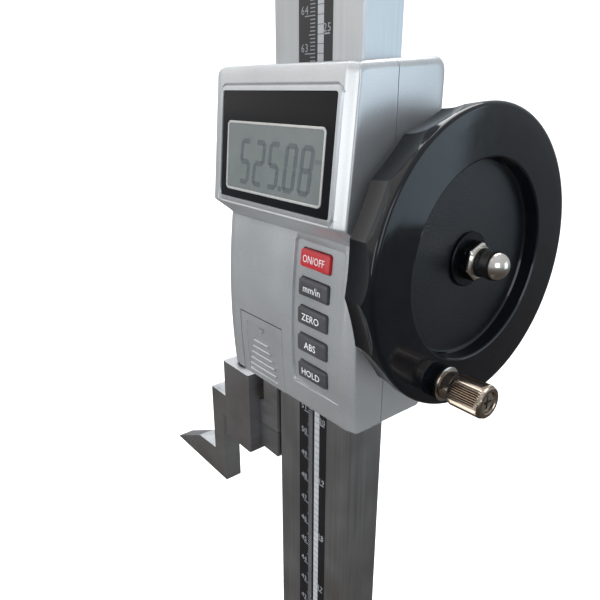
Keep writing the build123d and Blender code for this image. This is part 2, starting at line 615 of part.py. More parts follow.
save(rear, "rear_casing")
save(group(case_screws), "casing_screws")

# ---- display -----------------------------------------------------------------------------------------
panel = on_head(PANEL_HALF, *PANEL_V, -PANEL_T, 0)
panel -= on_head(LCD_HALF, *LCD_V, -PANEL_T - 1, 1)
save(panel, "display_bezel")
lcd_frame = on_head(LCD_HALF, *LCD_V, -PANEL_T, 0.15)
lcd_frame -= on_head(LCD_HALF - LCD_RIM, LCD_V[0] + LCD_RIM, LCD_V[1] - LCD_RIM, -PANEL_T - 1, 1)
save(lcd_frame, "lcd_frame")
glass = on_head(LCD_HALF - LCD_RIM, LCD_V[0] + LCD_RIM, LCD_V[1] - LCD_RIM, -PANEL_T, -0.5)
save(glass, "lcd_glass")
lcd = on_head(LCD_HALF - 0.5, LCD_V[0] + 0.5, LCD_V[1] - 0.5, -PANEL_T - 2.6, -PANEL_T)
save(lcd, "lcd_module")

# ---- electronics -----------------------------------------------------------------------------------------
BOARD_Y = (-14.4, -13.0)
board = block(-25.0, 25.0, *BOARD_Y, 628.0, 696.0)
board += block(2.0, 25.0, *BOARD_Y, 607.0, 629.0)
save(board, "circuit_board")
READER_GAP = 0.25
reader = block(-10.0, 10.0, BOARD_Y[1], -COLUMN_D / 2 - READER_GAP, 632.0, 686.0)
save(reader, "reader_head")
mat = block(6.0, 24.0, BOARD_Y[0] - 1.3, BOARD_Y[0], 611.0, 656.0)
save(mat, "keypad_mat")
CELL_X = (DOOR_X[0] + DOOR_X[1]) / 2
CELL_Z = 614.6
CELL_R = 10.0
CELL_Y = (-17.7, -14.5)
save(rod_y(CELL_X, *CELL_Y, CELL_Z, CELL_R), "battery_cell")
contacts = [
    block(CELL_X - 6, CELL_X + 6, CELL_Y[1], CELL_Y[1] + 0.4, CELL_Z - 2.5, CELL_Z + 2.5),
    block(CELL_X - 3, CELL_X + 3, CELL_Y[0], CELL_Y[1], CELL_Z + CELL_R, CELL_Z + CELL_R + 0.4),
]
save(group(contacts), "battery_contacts")

# ---- keys and battery door -----------------------------------------------------------------------------------
for name, z in zip(KEY_NAMES, KEY_Z):
    face = body_front(z) - KEY_PROUD
    key = block(*KEY_X, face, KEY_BACK, z - KEY_H / 2, z + KEY_H / 2)
    key = fillet(key.edges().filter_by(Axis.Y), 1.0)
    key = chamfer(key.faces().sort_by(Axis.Y)[0].edges(), 0.4)
    save(key, f"key_{name}")

DOOR_STEPS = 4
door_outline = []
for step in range(DOOR_STEPS + 1):
    z = CASE_FOOT + (DOOR_TOP - CASE_FOOT) * step / DOOR_STEPS
    door_outline.append((body_front(z), z))
door_outline += [(y + DOOR_T, z) for y, z in reversed(door_outline)]
door = prism_x(door_outline, (DOOR_X[1] - DOOR_X[0]) / 2, CELL_X)
RIDGES = 5
RIDGE_PITCH = 3.0
for ridge in range(RIDGES):
    z = 606.0 + ridge * RIDGE_PITCH
    half = 7.6 - ridge * 1.2
    door += block(CELL_X - half, CELL_X + half, body_front(z) - 0.35, body_front(z) + 0.4, z - 0.6, z + 0.6)
save(door, "battery_door")

# ---- scriber, its clamp and screw ------------------------------------------------------------------------------
SEAT = 0.05
clamp = block(*CLAMP_X, *CLAMP_Y, *CLAMP_Z)
clamp = chamfer(clamp.edges().filter_by(Axis.Z), EDGE)
clamp -= block(
    CLAMP_X[0] - 1, CLAMP_X[1] + 1, JAW_Y[0] - SEAT, JAW_Y[1] + SEAT, SHANK_Z - 0.1, JAW_Z[1] + 0.4,
)
clamp -= rod_z(*CLAMP_SCREW, JAW_Z[1], CLAMP_Z[1] + 1, THREAD_R + 0.05)
save(clamp, "scriber_clamp")

thumb = rod_z(*CLAMP_SCREW, CLAMP_Z[1] + 0.5, CLAMP_Z[1] + 0.5 + THUMB_H, THUMB_R)
thumb = chamfer(thumb.edges().filter_by(GeomType.CIRCLE), 0.6)
thumb += rod_z(*CLAMP_SCREW, JAW_Z[1] + 0.1, CLAMP_Z[1] + 1, THREAD_R)
save(thumb, "clamp_screw")

SHANK_END = CHEEK_X[1]
HEEL_X = -86.0
HEEL_Z = 537.5
body_outline = [
    (SCRIBER_BAR[1], SCRIBER_FOOT), (SCRIBER_BAR[1], SHANK_Z), (SHANK_END, SHANK_Z),
    (SHANK_END, SCRIBER_TOP), (SCRIBER_BAR[0], SCRIBER_TOP), (SCRIBER_BAR[0], HEEL_Z + 1),
    (HEEL_X, HEEL_Z),
]
TIP_FACE = -90.0
slope = (HEEL_Z - SCRIBER_FOOT) / (HEEL_X - SCRIBER_TIP)
tip_face_top = SCRIBER_FOOT + slope * (TIP_FACE - SCRIBER_TIP)
scriber = prism_y(body_outline + [(TIP_FACE, tip_face_top), (TIP_FACE, SCRIBER_FOOT)], *JAW_Y)
save(scriber, "scriber_arm")
tip_outline = [
    (TIP_FACE, SCRIBER_FOOT), (TIP_FACE, tip_face_top),
    (SCRIBER_TIP, SCRIBER_FOOT + 0.3), (SCRIBER_TIP, SCRIBER_FOOT),
]
save(prism_y(tip_outline, *JAW_Y), "carbide_tip")

SET_SCREW = (-30.8, -4.7)
set_screw = rod_z(*SET_SCREW, JAW_Z[1], JAW_Z[1] + 2.4, 1.4)
set_screw -= block(
    SET_SCREW[0] - 2, SET_SCREW[0] + 2, SET_SCREW[1] - 0.3, SET_SCREW[1] + 0.3,
    JAW_Z[1] + 1.4, JAW_Z[1] + 3,
)
save(set_screw, "jaw_screw")
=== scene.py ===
import math
import bmesh
import bpy
import numpy as np
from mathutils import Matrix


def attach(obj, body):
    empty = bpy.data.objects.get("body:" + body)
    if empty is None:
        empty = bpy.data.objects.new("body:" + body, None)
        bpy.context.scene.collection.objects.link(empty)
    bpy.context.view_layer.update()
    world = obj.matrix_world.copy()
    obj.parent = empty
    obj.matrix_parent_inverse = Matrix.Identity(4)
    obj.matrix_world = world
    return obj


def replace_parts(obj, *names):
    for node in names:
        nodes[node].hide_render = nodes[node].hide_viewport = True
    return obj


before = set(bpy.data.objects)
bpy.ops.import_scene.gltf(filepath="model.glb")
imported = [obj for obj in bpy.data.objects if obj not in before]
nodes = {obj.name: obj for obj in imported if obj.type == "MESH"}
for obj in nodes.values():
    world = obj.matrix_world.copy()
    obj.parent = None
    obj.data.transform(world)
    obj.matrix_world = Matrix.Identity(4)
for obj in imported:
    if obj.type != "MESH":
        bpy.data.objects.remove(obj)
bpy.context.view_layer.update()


# ---- column ---------------------------------------------------------------------------------
# The rectangular beam of hardened steel that everything stands on or slides along. It is
# surface ground along its length, and bolted up from under the base.
def linear(code):
    """The linear colour of an sRGB hex code, with alpha 1."""
    parts = np.array([int(code[i:i + 2], 16) for i in (0, 2, 4)]) / 255
    low, high = parts / 12.92, ((parts + 0.055) / 1.055) ** 2.4
    return (*np.where(parts <= 0.04045, low, high), 1.0)


def add(material, kind, links=None, **settings):
    """Adds a node to a material: settings are the node's own choices, and links give each
    named or numbered input a value or another node's output."""
    tree = material.node_tree
    made = tree.nodes.new(kind)
    for key, value in settings.items():
        setattr(made, key, value)
    for socket, value in (links or {}).items():
        if isinstance(value, bpy.types.NodeSocket):
            tree.links.new(value, made.inputs[socket])
        else:
            made.inputs[socket].default_value = value
    return made


def finish_named(name, metallic=0.0, roughness=0.5, **sockets):
    """An empty material of that name, and its surface shader with its constant values."""
    made = bpy.data.materials.new(name)
    made.use_nodes = True
    surface = made.node_tree.nodes["Principled BSDF"]
    surface.inputs["Metallic"].default_value = metallic
    surface.inputs["Roughness"].default_value = roughness
    for socket, value in sockets.items():
        surface.inputs[socket.replace("_", " ")].default_value = value
    return made, surface


def grained(name, dark, light, stretch_mm, metallic, roughness, swing, relief_mm, **sockets):
    """A finish whose grain is noise stretched to the given lengths in millimetres along X, Y
    and Z. It shades the colour between dark and light, swings the roughness, and raises
    the surface by relief_mm."""
    made, surface = finish_named(name, metallic, roughness, **sockets)
    place = add(made, "ShaderNodeTexCoord")
    scale = tuple(1000 / length for length in stretch_mm)
    turned = add(made, "ShaderNodeMapping", {"Vector": place.outputs["Object"], "Scale": scale})
    grain = add(made, "ShaderNodeTexNoise", {
        "Vector": turned.outputs[0], "Scale": 1.0, "Detail": 4.0, "Roughness": 0.6,
    })
    cloud = add(made, "ShaderNodeTexNoise", {
        "Vector": place.outputs["Object"], "Scale": 45.0, "Detail": 2.0,
    })
    both = add(made, "ShaderNodeMath", {0: grain.outputs[0], 1: cloud.outputs[0]}, operation="ADD")
    shade = add(made, "ShaderNodeMapRange", {
        "Value": both.outputs[0], "From Min": 0.7, "From Max": 1.3,
    })
    colour = add(made, "ShaderNodeMix", {
        "Factor": shade.outputs[0], 6: linear(dark), 7: linear(light),
    }, data_type="RGBA")
    gloss = add(made, "ShaderNodeMapRange", {
        "Value": both.outputs[0], "From Min": 0.7, "From Max": 1.3,
        "To Min": max(roughness - swing, 0.03), "To Max": roughness + swing,
    })
    bump = add(made, "ShaderNodeBump", {
        "Height": grain.outputs[0], "Distance": relief_mm / 1000, "Strength": 1.0,
    })
    made.node_tree.links.new(colour.outputs[2], surface.inputs["Base Color"])
    made.node_tree.links.new(gloss.outputs[0], surface.inputs["Roughness"])
    made.node_tree.links.new(bump.outputs[0], surface.inputs["Normal"])
    return made


def finish_node(name, material):
    """Gives a carried-over node its finish."""
    nodes[name].data.materials.clear()
    nodes[name].data.materials.append(material)


# Ground steel: the wheel leaves lines along the beam, which draw reflections out lengthways.
ground_steel = grained(
    "Ground_hardened_steel", "A6A9AC", "B9BCBF", (0.9, 0.9, 60), 1.0, 0.37, 0.05, 0.002,
)
finish_node("column_beam", ground_steel)


# ---- printed scale ----------------------------------------------------------------------------
# A black anodised strip let into the column's front, screen printed in grey: millimetres at
# the left, a pale bar of tenths of an inch in the middle, and inches at the right.
def solid_of(name, points, faces, material, body, smooth=True, sharp=35):
    """A closed mesh at the origin from arrays of points in metres and of faces. Doubled points
    are merged, faces turned outwards, and edges sharper than the angle kept crisp."""
    mesh = bpy.data.meshes.new(name)
    mesh.from_pydata(np.asarray(points, float).tolist(), [], faces)
    work = bmesh.new()
    work.from_mesh(mesh)
    bmesh.ops.remove_doubles(work, verts=work.verts, dist=2e-6)
    bmesh.ops.dissolve_degenerate(work, edges=work.edges, dist=1e-6)
    bmesh.ops.recalc_face_normals(work, faces=work.faces)
    work.to_mesh(mesh)
    work.free()
    mesh.shade_smooth() if smooth else mesh.shade_flat()
    if smooth:
        mesh.set_sharp_from_angle(angle=math.radians(sharp))
    mesh.materials.append(material)
    made = bpy.data.objects.new(name, mesh)
    bpy.context.scene.collection.objects.link(made)
    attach(made, body)
    return made


def grid_faces(rows, columns, wrap_rows=False, wrap_columns=False, start=0):
    """Quads of a grid of rows x columns points, closed in either direction."""
    row, column = np.meshgrid(
        np.arange(rows if wrap_rows else rows - 1),
        np.arange(columns if wrap_columns else columns - 1), indexing="ij",
    )
    below, after = (row + 1) % rows, (column + 1) % columns
    quads = np.stack([
        row * columns + column, row * columns + after, below * columns + after,
        below * columns + column,
    ], axis=-1)
    return (quads.reshape(-1, 4) + start).tolist()


BOX_FACES = np.array([
    (0, 2, 3, 1), (4, 5, 7, 6), (0, 1, 5, 4), (2, 6, 7, 3), (0, 4, 6, 2), (1, 3, 7, 5),
])


def bars(lows, highs):
    """Many boxes at once: corner n of a box takes, on each axis, its low or high end."""
    picks = np.array([[x, y, z] for x in (0, 1) for y in (0, 1) for z in (0, 1)])
    lows, highs = np.asarray(lows, float), np.asarray(highs, float)
    points = lows[:, None, :] + (highs - lows)[:, None, :] * picks[None]
    faces = BOX_FACES[None] + 8 * np.arange(len(lows))[:, None, None]
    return points.reshape(-1, 3) / 1000, faces.reshape(-1, 4).tolist()


def lettering(text, height):
    """A word as flat plates of the given height in mm, its left foot at the origin: points
    with x across and z up, and the faces."""
    curve = bpy.data.curves.new("word", "FONT")
    curve.body = text
    curve.size = height / 0.72
    curve.extrude = 0.02
    curve.resolution_u = 2
    holder = bpy.data.objects.new("word", curve)
    mesh = bpy.data.meshes.new_from_object(holder)
    flat = np.zeros(len(mesh.vertices) * 3)
    mesh.vertices.foreach_get("co", flat)
    flat = flat.reshape(-1, 3)
    faces = [list(face.vertices) for face in mesh.polygons]
    bpy.data.objects.remove(holder)
    bpy.data.curves.remove(curve)
    bpy.data.meshes.remove(mesh)
    return np.stack([flat[:, 0], -flat[:, 2], flat[:, 1]], axis=1), faces


def joined(parts):
    """Several lots of points and faces as one lot."""
    points, faces, count = [], [], 0
    for some, these in parts:
        points.append(some)
        faces += [[index + count for index in face] for face in these]
        count += len(some)
    return np.concatenate(points), faces


# Anodised aluminium printed black: dark, even and slightly glossy.
black_print = grained(
    "Black_anodised_strip", "0A0B10", "101218", (2, 2, 2), 0.0, 0.38, 0.06, 0.001,
)
finish_node("scale_strip", black_print)
STRIP_FACE = -7.7
SCALE_ZERO = 79.0
PRINT = (STRIP_FACE - 0.03, STRIP_FACE + 0.1)
INCH = 25.4
MARK_HALF, INCH_HALF, TENTH_GAP = 0.13, 0.2, 0.12
BAR_X = (1.05, 3.7)


def printed(left, right, low_z, high_z, front=PRINT[0]):
    """Bars of ink across the strip from left to right, one for each pair of heights."""
    count = len(low_z)
    lows = np.stack([np.broadcast_to(left, count), np.full(count, front), low_z], axis=1)
    highs = np.stack([np.full(count, right), np.full(count, PRINT[1]), high_z], axis=1)
    return bars(lows, highs)


mm_marks = np.arange(0, 731)
whole = mm_marks % 10 == 0
half = mm_marks % 5 == 0
mark_z = SCALE_ZERO + mm_marks
mark_left = np.where(whole, -4.8, np.where(half, -2.9, -2.3))
mm_bars = printed(mark_left, -0.1, mark_z - MARK_HALF, mark_z + MARK_HALF)
inches = np.arange(0, 29) * INCH + SCALE_ZERO
inch_bars = printed(3.95, 6.3, inches - INCH_HALF, inches + INCH_HALF)
digits = {digit: lettering(digit, 2.3) for digit in "0123456789"}


def number_at(number, middle, foot):
    """A number's digits side by side, each 1.75 mm on, centred on a place across the strip."""
    text = str(number)
    placed = []
    for place, digit in enumerate(text):
        points, faces = digits[digit]
        centre = (points[:, 0].max() + points[:, 0].min()) / 2
        across = middle + (place - (len(text) - 1) / 2) * 1.75 - centre
        shift = np.array([across, PRINT[0] + 0.02, foot])
        placed.append(((points + shift) / 1000, faces))
    return placed


figures = []
for centimetre in range(1, 73):
    figures += number_at(centimetre, -4.85, SCALE_ZERO + 10 * centimetre + 0.5)
for inch in range(1, 29):
    figures += number_at(inch, 5.1, SCALE_ZERO + INCH * inch + 0.5)
# Screen ink: a matt pale grey, a little uneven.
scale_ink = grained("Grey_screen_ink", "808286", "96989C", (0.6, 0.6, 0.6), 0.0, 0.6, 0.1, 0.001)
marks = joined([mm_bars, inch_bars] + figures)
solid_of("scale_markings", *marks, scale_ink, "stand", smooth=False)
tenths = np.arange(0, 287) * 2.54 + SCALE_ZERO
# Paler ink for the bar, and darker ink for the lines that part its tenths.
bar_ink = grained("Pale_screen_ink", "9A9C9E", "ACAEB0", (1.5, 1.5, 1.5), 0.0, 0.5, 0.1, 0.001)
pale_bars = printed(*BAR_X, tenths[:-1] + TENTH_GAP, tenths[1:] - TENTH_GAP)
tenth_bar = solid_of("tenth_inch_bar", *pale_bars, bar_ink, "stand", smooth=False)
tick_ink = grained("Dark_screen_ink", "5E5E60", "6C6C6E", (1.5, 1.5, 1.5), 0.0, 0.5, 0.1, 0.001)
dark_bars = printed(*BAR_X, tenths - TENTH_GAP, tenths + TENTH_GAP, PRINT[0] + 0.01)
tenth_lines = solid_of("tenth_inch_lines", *dark_bars, tick_ink, "stand", smooth=False)


# ---- base -------------------------------------------------------------------------------------
# A grey iron casting, painted outside, with a lapped rim and pad underneath that it stands
# and slides on. Two cap screws come up through the pad into the column.
# Hammer-finish enamel over cast iron: small soft dimples with a low gloss.
cast_enamel = grained(
    "Enamelled_cast_iron", "33363A", "484C51", (2.2, 2.2, 2.2), 0.0, 0.42, 0.1, 0.12,
    Coat_Weight=0.3, Coat_Roughness=0.25,
)
finish_node("base_casting", cast_enamel)
# Black oxide steel: a blue-black skin with an oily sheen.
black_oxide = grained(
    "Black_oxide_steel", "17181B", "24262A", (0.8, 0.8, 0.8), 0.9, 0.4, 0.08, 0.004,
)
for name in ("column_bolts", "top_stop_screws", "rack_screws", "gib_screws"):
    finish_node(name, black_oxide)


# ---- rack, top stop and slider ----------------------------------------------------------------
# The rack lies in a slot down the column's back. The slider is a milled steel frame that
# wraps the column, with a gib strip to take up play, a cheek and the jaw bar below.
# Milled steel: crossed cutter marks and a satin shine.
milled_steel = grained(
    "Milled_carbon_steel", "94969A", "A9ABAE", (0.7, 14, 0.7), 1.0, 0.36, 0.06, 0.004,
)
for name in ("rack_strip", "drive_pinion", "top_stop"):
    finish_node(name, milled_steel)
# Grey frame: the same milling, dulled by a phosphate finish that keeps oil.
dark_steel = grained(
    "Grey_milled_steel", "A2A2A4", "B4B4B6", (9, 0.7, 0.7), 1.0, 0.4, 0.08, 0.004,
)
for name in ("slider_frame", "pinion_cover", "pinion_cover_screws"):
    finish_node(name, dark_steel)
# Turned brass: warm yellow, with a fine even grain left by the tool.
turned_brass = grained("Turned_brass", "9A7B3C", "B8974E", (0.5, 0.5, 0.5), 1.0, 0.3, 0.06, 0.003)
for name in ("gib_strip", "shaft_bush", "jaw_screw", "lock_shoe"):
    finish_node(name, turned_brass)
for name in ("pinion_shaft", "lock_screw"):
    finish_node(name, black_oxide)


# ---- silver casings -----------------------------------------------------------------------------
# Two shells of die-cast zinc, painted silver, screwed together over the slider: the front
# one has the display's brow, the key field and the battery pocket. They meet in a fine seam.
SIDE = 32.85
CREASE = 28.75
SEAM = -7.7
FOOT = 601.4
CROWN_Y, CROWN_Z = -21.3, 705.9
CROWN_SLOPE = (708.0 - CROWN_Z) / (11.5 - CROWN_Y)
BELLY_Y, BELLY_MID, BELLY_FALL, BELLY_REACH = -20.85, 627.6, 1.45, 26.2
BROW_Y, BROW_Z = -25.6, 664.5
LEAN = math.atan2(3.5, 38.1)
PANEL_V = (2.3, 34.6)
PANEL_HALF = 26.95


def crown(y):
    """The casing's top rises in a straight line to the back."""
    return CROWN_Z + CROWN_SLOPE * (np.asarray(y) - CROWN_Y)


def belly(z):
    """The lower front bulges forwards as a parabola about its middle height."""
    return BELLY_Y + BELLY_FALL * ((np.asarray(z) - BELLY_MID) / BELLY_REACH) ** 2


def brow(z):
    """The display's face leans back in a straight line."""
    return BROW_Y + (np.asarray(z) - BROW_Z) * math.tan(LEAN)


def bend(start, corner, end, radius, steps=8):
    """A rounded corner of a path: a parabola that leaves each straight at the radius times
    the tangent of half the turn, and is pulled towards the corner."""
    start, corner, end = (np.asarray(p, float) for p in (start, corner, end))
    into = (corner - start) / np.linalg.norm(corner - start)
    out = (end - corner) / np.linalg.norm(end - corner)
    reach = radius * math.tan(math.acos(np.clip(into @ out, -1, 1)) / 2)
    t = np.linspace(0, 1, steps)[:, None]
    return ((1 - t) ** 2 * (corner - reach * into) + 2 * t * (1 - t) * corner
            + t ** 2 * (corner + reach * out))


def ladder(low, high, edges, coarse=2.0):
    """Grid lines from low to high: even ones, and close ones about each edge of a recess."""
    near = np.array([-0.9, -0.5, -0.25, -0.12, -0.04, 0.04, 0.12, 0.25, 0.5, 0.9])
    even = np.linspace(low, high, int((high - low) / coarse) + 2)
    every = np.unique(np.concatenate([even, (np.array(edges)[:, None] + near).ravel()]))
    return every[(every >= low) & (every <= high)]


def inside(x, z, x_range, z_range, radius):
    """Signed distance to a rounded rectangle's edge, negative inside it."""
    half_x, half_z = np.diff(x_range)[0] / 2, np.diff(z_range)[0] / 2
    qx = np.abs(x - np.mean(x_range)) - half_x + radius
    qz = np.abs(z - np.mean(z_range)) - half_z + radius
    outer = np.hypot(np.maximum(qx, 0), np.maximum(qz, 0))
    return outer + np.minimum(np.maximum(qx, qz), 0) - radius


def ramp(value, low, high):
    """Smooth step from 0 at low to 1 at high."""
    t = np.clip((value - low) / (high - low), 0, 1)
    return t * t * (3 - 2 * t)


def loaf(path_at, lines, fall, radii, crisp, pole):
    """A closed casing: a (y, z) path carried along X. path_at(front, top, foot) is the path
    with those faces drawn in. Beyond the crease the front falls back in a bevel, then the
    faces turn round their own radii (front, top, foot) into flat sides, whose rings shrink to
    a point. A row's radius blends from the front's to the lid's as it turns level."""
    path = path_at(0, 0, 0)
    step = np.roll(path, -1, axis=0) - path
    level = (step[:, 0] / np.linalg.norm(step, axis=1)) ** 2
    level = np.maximum(level, np.roll(level, 1))
    edge, lid, foot = radii
    ends = np.where(path[:, 1] > 665, lid, foot)
    radius = np.where(crisp, 0, edge + (ends - edge) * level)
    rings, places = [], []
    for t in np.linspace(0, 1, 5)[1:]:
        rings.append(path_at(t * fall, 0, 0))
        places.append(CREASE + t * (SIDE - radius - CREASE))
    for turn in np.linspace(0, math.pi / 2, 8)[1:]:
        dip = 1 - math.cos(turn)
        rings.append(path_at(fall + edge * dip, lid * dip, foot * dip))
        places.append(SIDE - radius * (1 - math.sin(turn)))
    last = rings[-1]
    for t in np.linspace(0, 1, 9)[1:]:
        rings.append(last + (np.array(pole) - last) * t)
        places.append(np.full(len(path), SIDE))
    side, side_x = np.stack(rings, axis=1), np.stack(places, axis=1)
    middle = np.broadcast_to(path[:, None], (len(path), len(lines), 2))
    x = np.concatenate([-side_x[:, ::-1], np.broadcast_to(lines, middle.shape[:2]), side_x], axis=1)
    flat = np.concatenate([side[:, ::-1], middle, side], axis=1)
    return np.concatenate([x[..., None], flat], axis=2)


KEY_ROWS = (652.1, 643.2, 634.1, 625.0, 615.6)
KEY_X = (8.1, 22.0)
KEY_HALF = 3.05
FIELD_X, FIELD_Z = (4.75, 27.5), (609.5, 657.2)
DOOR_X, DOOR_TOP = (-25.1, -0.3), 625.8
key_edges = np.array([(z - KEY_HALF, z + KEY_HALF) for z in KEY_ROWS]).ravel()
LOW, HIGH = (603.2, 657.0), (666.6, 702.8)
low_z = ladder(*LOW, [*key_edges, *FIELD_Z, DOOR_TOP], 2.2)
panel_z = BROW_Z + np.array(PANEL_V) * math.cos(LEAN)
high_z = ladder(*HIGH, [*panel_z, panel_z[0] - 1.4, panel_z[1] + 1.4], 2.4)
front_seam = SEAM - 0.12


def front_path(front, top, foot):
    """The front shell's outline with its front, top and foot drawn in: from the seam at the
    foot, round the front, and back along the top."""
    floor, near = FOOT + foot, float(belly(FOOT)) + front
    low = LOW[1] + (low_z - LOW[1]) * (1 - foot / (LOW[1] - LOW[0]))
    high = HIGH[0] + (high_z - HIGH[0]) * (1 - top / (HIGH[1] - HIGH[0]))
    neck, chin = (-18.7 + front, 659.3), (BROW_Y + front, BROW_Z)
    peak_z = CROWN_Z - top
    peak = (float(brow(peak_z)) + front, peak_z)
    lid = np.linspace(front_seam, near + 1.6, 4)
    return np.concatenate([
        np.stack([lid, np.full(4, floor)], axis=1),
        bend((front_seam, floor), (near, floor), (float(belly(606)) + front, 606), 1.4),
        np.stack([belly(low) + front, low], axis=1),
        bend((float(belly(657)) + front, 657), neck, chin, 0.8, 5),
        bend(neck, chin, (float(brow(670)) + front, 670), 1.3),
        np.stack([brow(high) + front, high], axis=1),
        bend((float(brow(690)) + front, 690), peak, (front_seam, float(crown(front_seam)) - top), 2.6),
        np.stack([lid[::-1], crown(lid[::-1]) - top], axis=1)[1:],
    ])


across = ladder(
    -CREASE, CREASE,
    [*KEY_X, *FIELD_X, *DOOR_X, -PANEL_HALF, PANEL_HALF, -28.3, 28.3, -8.1], 2.6,
)
shell = loaf(front_path, across, 1.0, (0.7, 2.6, 0.8), False, (-13, 665))
x, y, z = shell[..., 0], shell[..., 1], shell[..., 2]
wall = 0.12
field = inside(x, z, FIELD_X, FIELD_Z, 1.2)
taper = 1.0 - 0.9 * np.clip((x - FIELD_X[0]) / (FIELD_X[1] - FIELD_X[0]), 0, 1)
sunk = 0.95 * taper * ramp(-field, 0, wall * 2)
for row_z in KEY_ROWS:
    well = inside(x, z, KEY_X, (row_z - KEY_HALF, row_z + KEY_HALF), 1.0)
    sunk = np.maximum(sunk, 2.4 * ramp(-well, 0, wall))
pocket = inside(x, z, DOOR_X, (FOOT - 9, DOOR_TOP), 0.6)
sunk = np.maximum(sunk, 1.7 * ramp(-pocket, 0, wall))
lower = z < 659
y = np.where(lower & (sunk > 0), np.maximum(y, belly(z) + sunk), y)
panel = inside(x, z, (-PANEL_HALF, PANEL_HALF), panel_z, 1.1)
raised = 0.32 * ramp(-(panel - 1.35), 0, 0.25)
groove = 0.3 * np.exp(-((panel - 1.6) / 0.16) ** 2)
head = (z > 660) & (y < brow(z) + 0.3) & (np.abs(x) <= CREASE)
y = np.where(head, y - np.where(panel < 2.4, raised - groove, 0), y)
well_floor = brow(z) + 2.0 * ramp(-panel, 0, wall) - 0.32
y = np.where((z > 660) & (panel < 0), np.maximum(y, well_floor), y)
shell = np.stack([x, y, z], axis=-1)
# Silver paint over zinc: fine metal flake under a satin lacquer, colour almost even.
silver_paint = grained(
    "Satin_silver_paint", "ABAEB0", "BEC1C3", (0.45, 0.45, 0.45), 0.65, 0.35, 0.04, 0.0015,
    Coat_Weight=0.15, Coat_Roughness=0.2,
)
front_shell = solid_of(
    "front_shell", shell.reshape(-1, 3) / 1000,
    grid_faces(shell.shape[0], shell.shape[1], wrap_rows=True), silver_paint, "slider", sharp=50,
)
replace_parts(front_shell, "front_casing")

# rear shell: path from the seam at the top, round the back, forwards under the foot and up the
# seam. The column runs in a channel down it, the slider's back block stands out through an
# opening, and the wheel's bearing boss lies in a notch open to the back.
rear_seam = SEAM + 0.12
REAR = 11.5
BLOCK_HOLE, BLOCK_Z = 22.3, (611.7, 696.3)
CHANNEL, CHANNEL_BACK = 20.05, 8.0
NOTCH_Z, NOTCH_FRONT = (647.3, 660.7), 4.6
back_z = ladder(604, 703, [*BLOCK_Z, *NOTCH_Z], 4.0)


def rear_path(back, top, foot):
    """The rear shell's outline with its back, top and foot drawn in: from the seam at the top,
    round the back, under the foot and up the seam. The rows by the openings stay put."""
    rear_y, floor = REAR - back, FOOT + foot
    rows = np.interp(back_z, [604, 640, 668, 703], [604 + foot, 640, 668, 703 - top])
    return np.concatenate([
        [(rear_seam, float(crown(rear_seam)) - top), (2.0, float(crown(2.0)) - top)],
        bend((2.0, float(crown(2.0)) - top), (rear_y, float(crown(REAR)) - top), (rear_y, 690), 3.4),
        np.stack([np.full(len(rows), rear_y), rows[::-1]], axis=1),
        bend((rear_y, 620), (rear_y, floor), (0, floor), 2.2),
        [(2.0, floor), (rear_seam, floor)],
        np.stack([np.full(len(rows), rear_seam), rows], axis=1),
    ])


edges_x = [-BLOCK_HOLE, -CHANNEL, CHANNEL, BLOCK_HOLE]
row_z = rear_path(0, 0, 0)[:, 1][:, None]
on_seam = np.arange(len(row_z)) >= len(row_z) - len(back_z)
rear = loaf(rear_path, ladder(-CREASE, CREASE, edges_x, 3.0), 0.0, (2.0, 2.8, 1.2), on_seam, (2, 655))
x, y, z = rear[..., 0], rear[..., 1], rear[..., 2]
y = np.where(np.abs(x) < CHANNEL, np.maximum(y, CHANNEL_BACK), y)
in_notch = (row_z > NOTCH_Z[0]) & (row_z < NOTCH_Z[1])
y = np.where(in_notch & (x > BLOCK_HOLE), np.minimum(y, NOTCH_FRONT), y)
middle = np.where(in_notch & (x > 0), -1.5, 9.75)
opened = (np.abs(x) < BLOCK_HOLE) & (row_z > BLOCK_Z[0]) & (row_z < BLOCK_Z[1])
y = np.where(opened, middle, y)
rear = np.stack([x, y, z], axis=-1)
rear_faces = np.array(grid_faces(rear.shape[0], rear.shape[1], wrap_rows=True))
rear_faces = rear_faces[~opened.reshape(-1)[rear_faces].all(axis=1)].tolist()
rear_shell = solid_of(
    "rear_shell", rear.reshape(-1, 3) / 1000, rear_faces, silver_paint, "slider", sharp=50,
)
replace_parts(rear_shell, "rear_casing")
finish_node("casing_screws", black_oxide)


# ---- display ------------------------------------------------------------------------------------
# A gloss black acrylic window set in the brow, with a thin plated frame round the liquid
# crystal cell. The cell's grey-green glass shows five large figures and the unit.
def outline(half_u, half_v, radius, steps=9):
    """A rounded rectangle as points and outward normals: each corner is a quarter circle of
    the radius about its own centre."""
    corner = np.repeat(np.arange(4), steps)
    angle = corner * math.pi / 2 + np.tile(np.linspace(0, math.pi / 2, steps), 4)
    normal = np.stack([np.cos(angle), np.sin(angle)], axis=1)
    sign_u, sign_v = np.array([1, -1, -1, 1])[corner], np.array([1, 1, -1, -1])[corner]
    centre = np.stack([sign_u * (half_u - radius), sign_v * (half_v - radius)], axis=1)
    return centre + radius * normal, normal


def tablet(half_u, half_v, radius, profile):
    """A closed plate with a rounded rectangle's outline: each profile point (k, o, w) is that
    outline scaled by k, pushed out by o, at height w. The first and last k are 0."""
    edge, normal = outline(half_u, half_v, radius)
    k, o, w = np.asarray(profile, float).T
    flat = edge[None] * k[:, None, None] + normal[None] * o[:, None, None]
    high = np.broadcast_to(w[:, None], flat.shape[:2])
    local = np.concatenate([flat, high[..., None]], axis=2)
    return local.reshape(-1, 3), grid_faces(len(k), len(edge), wrap_columns=True)


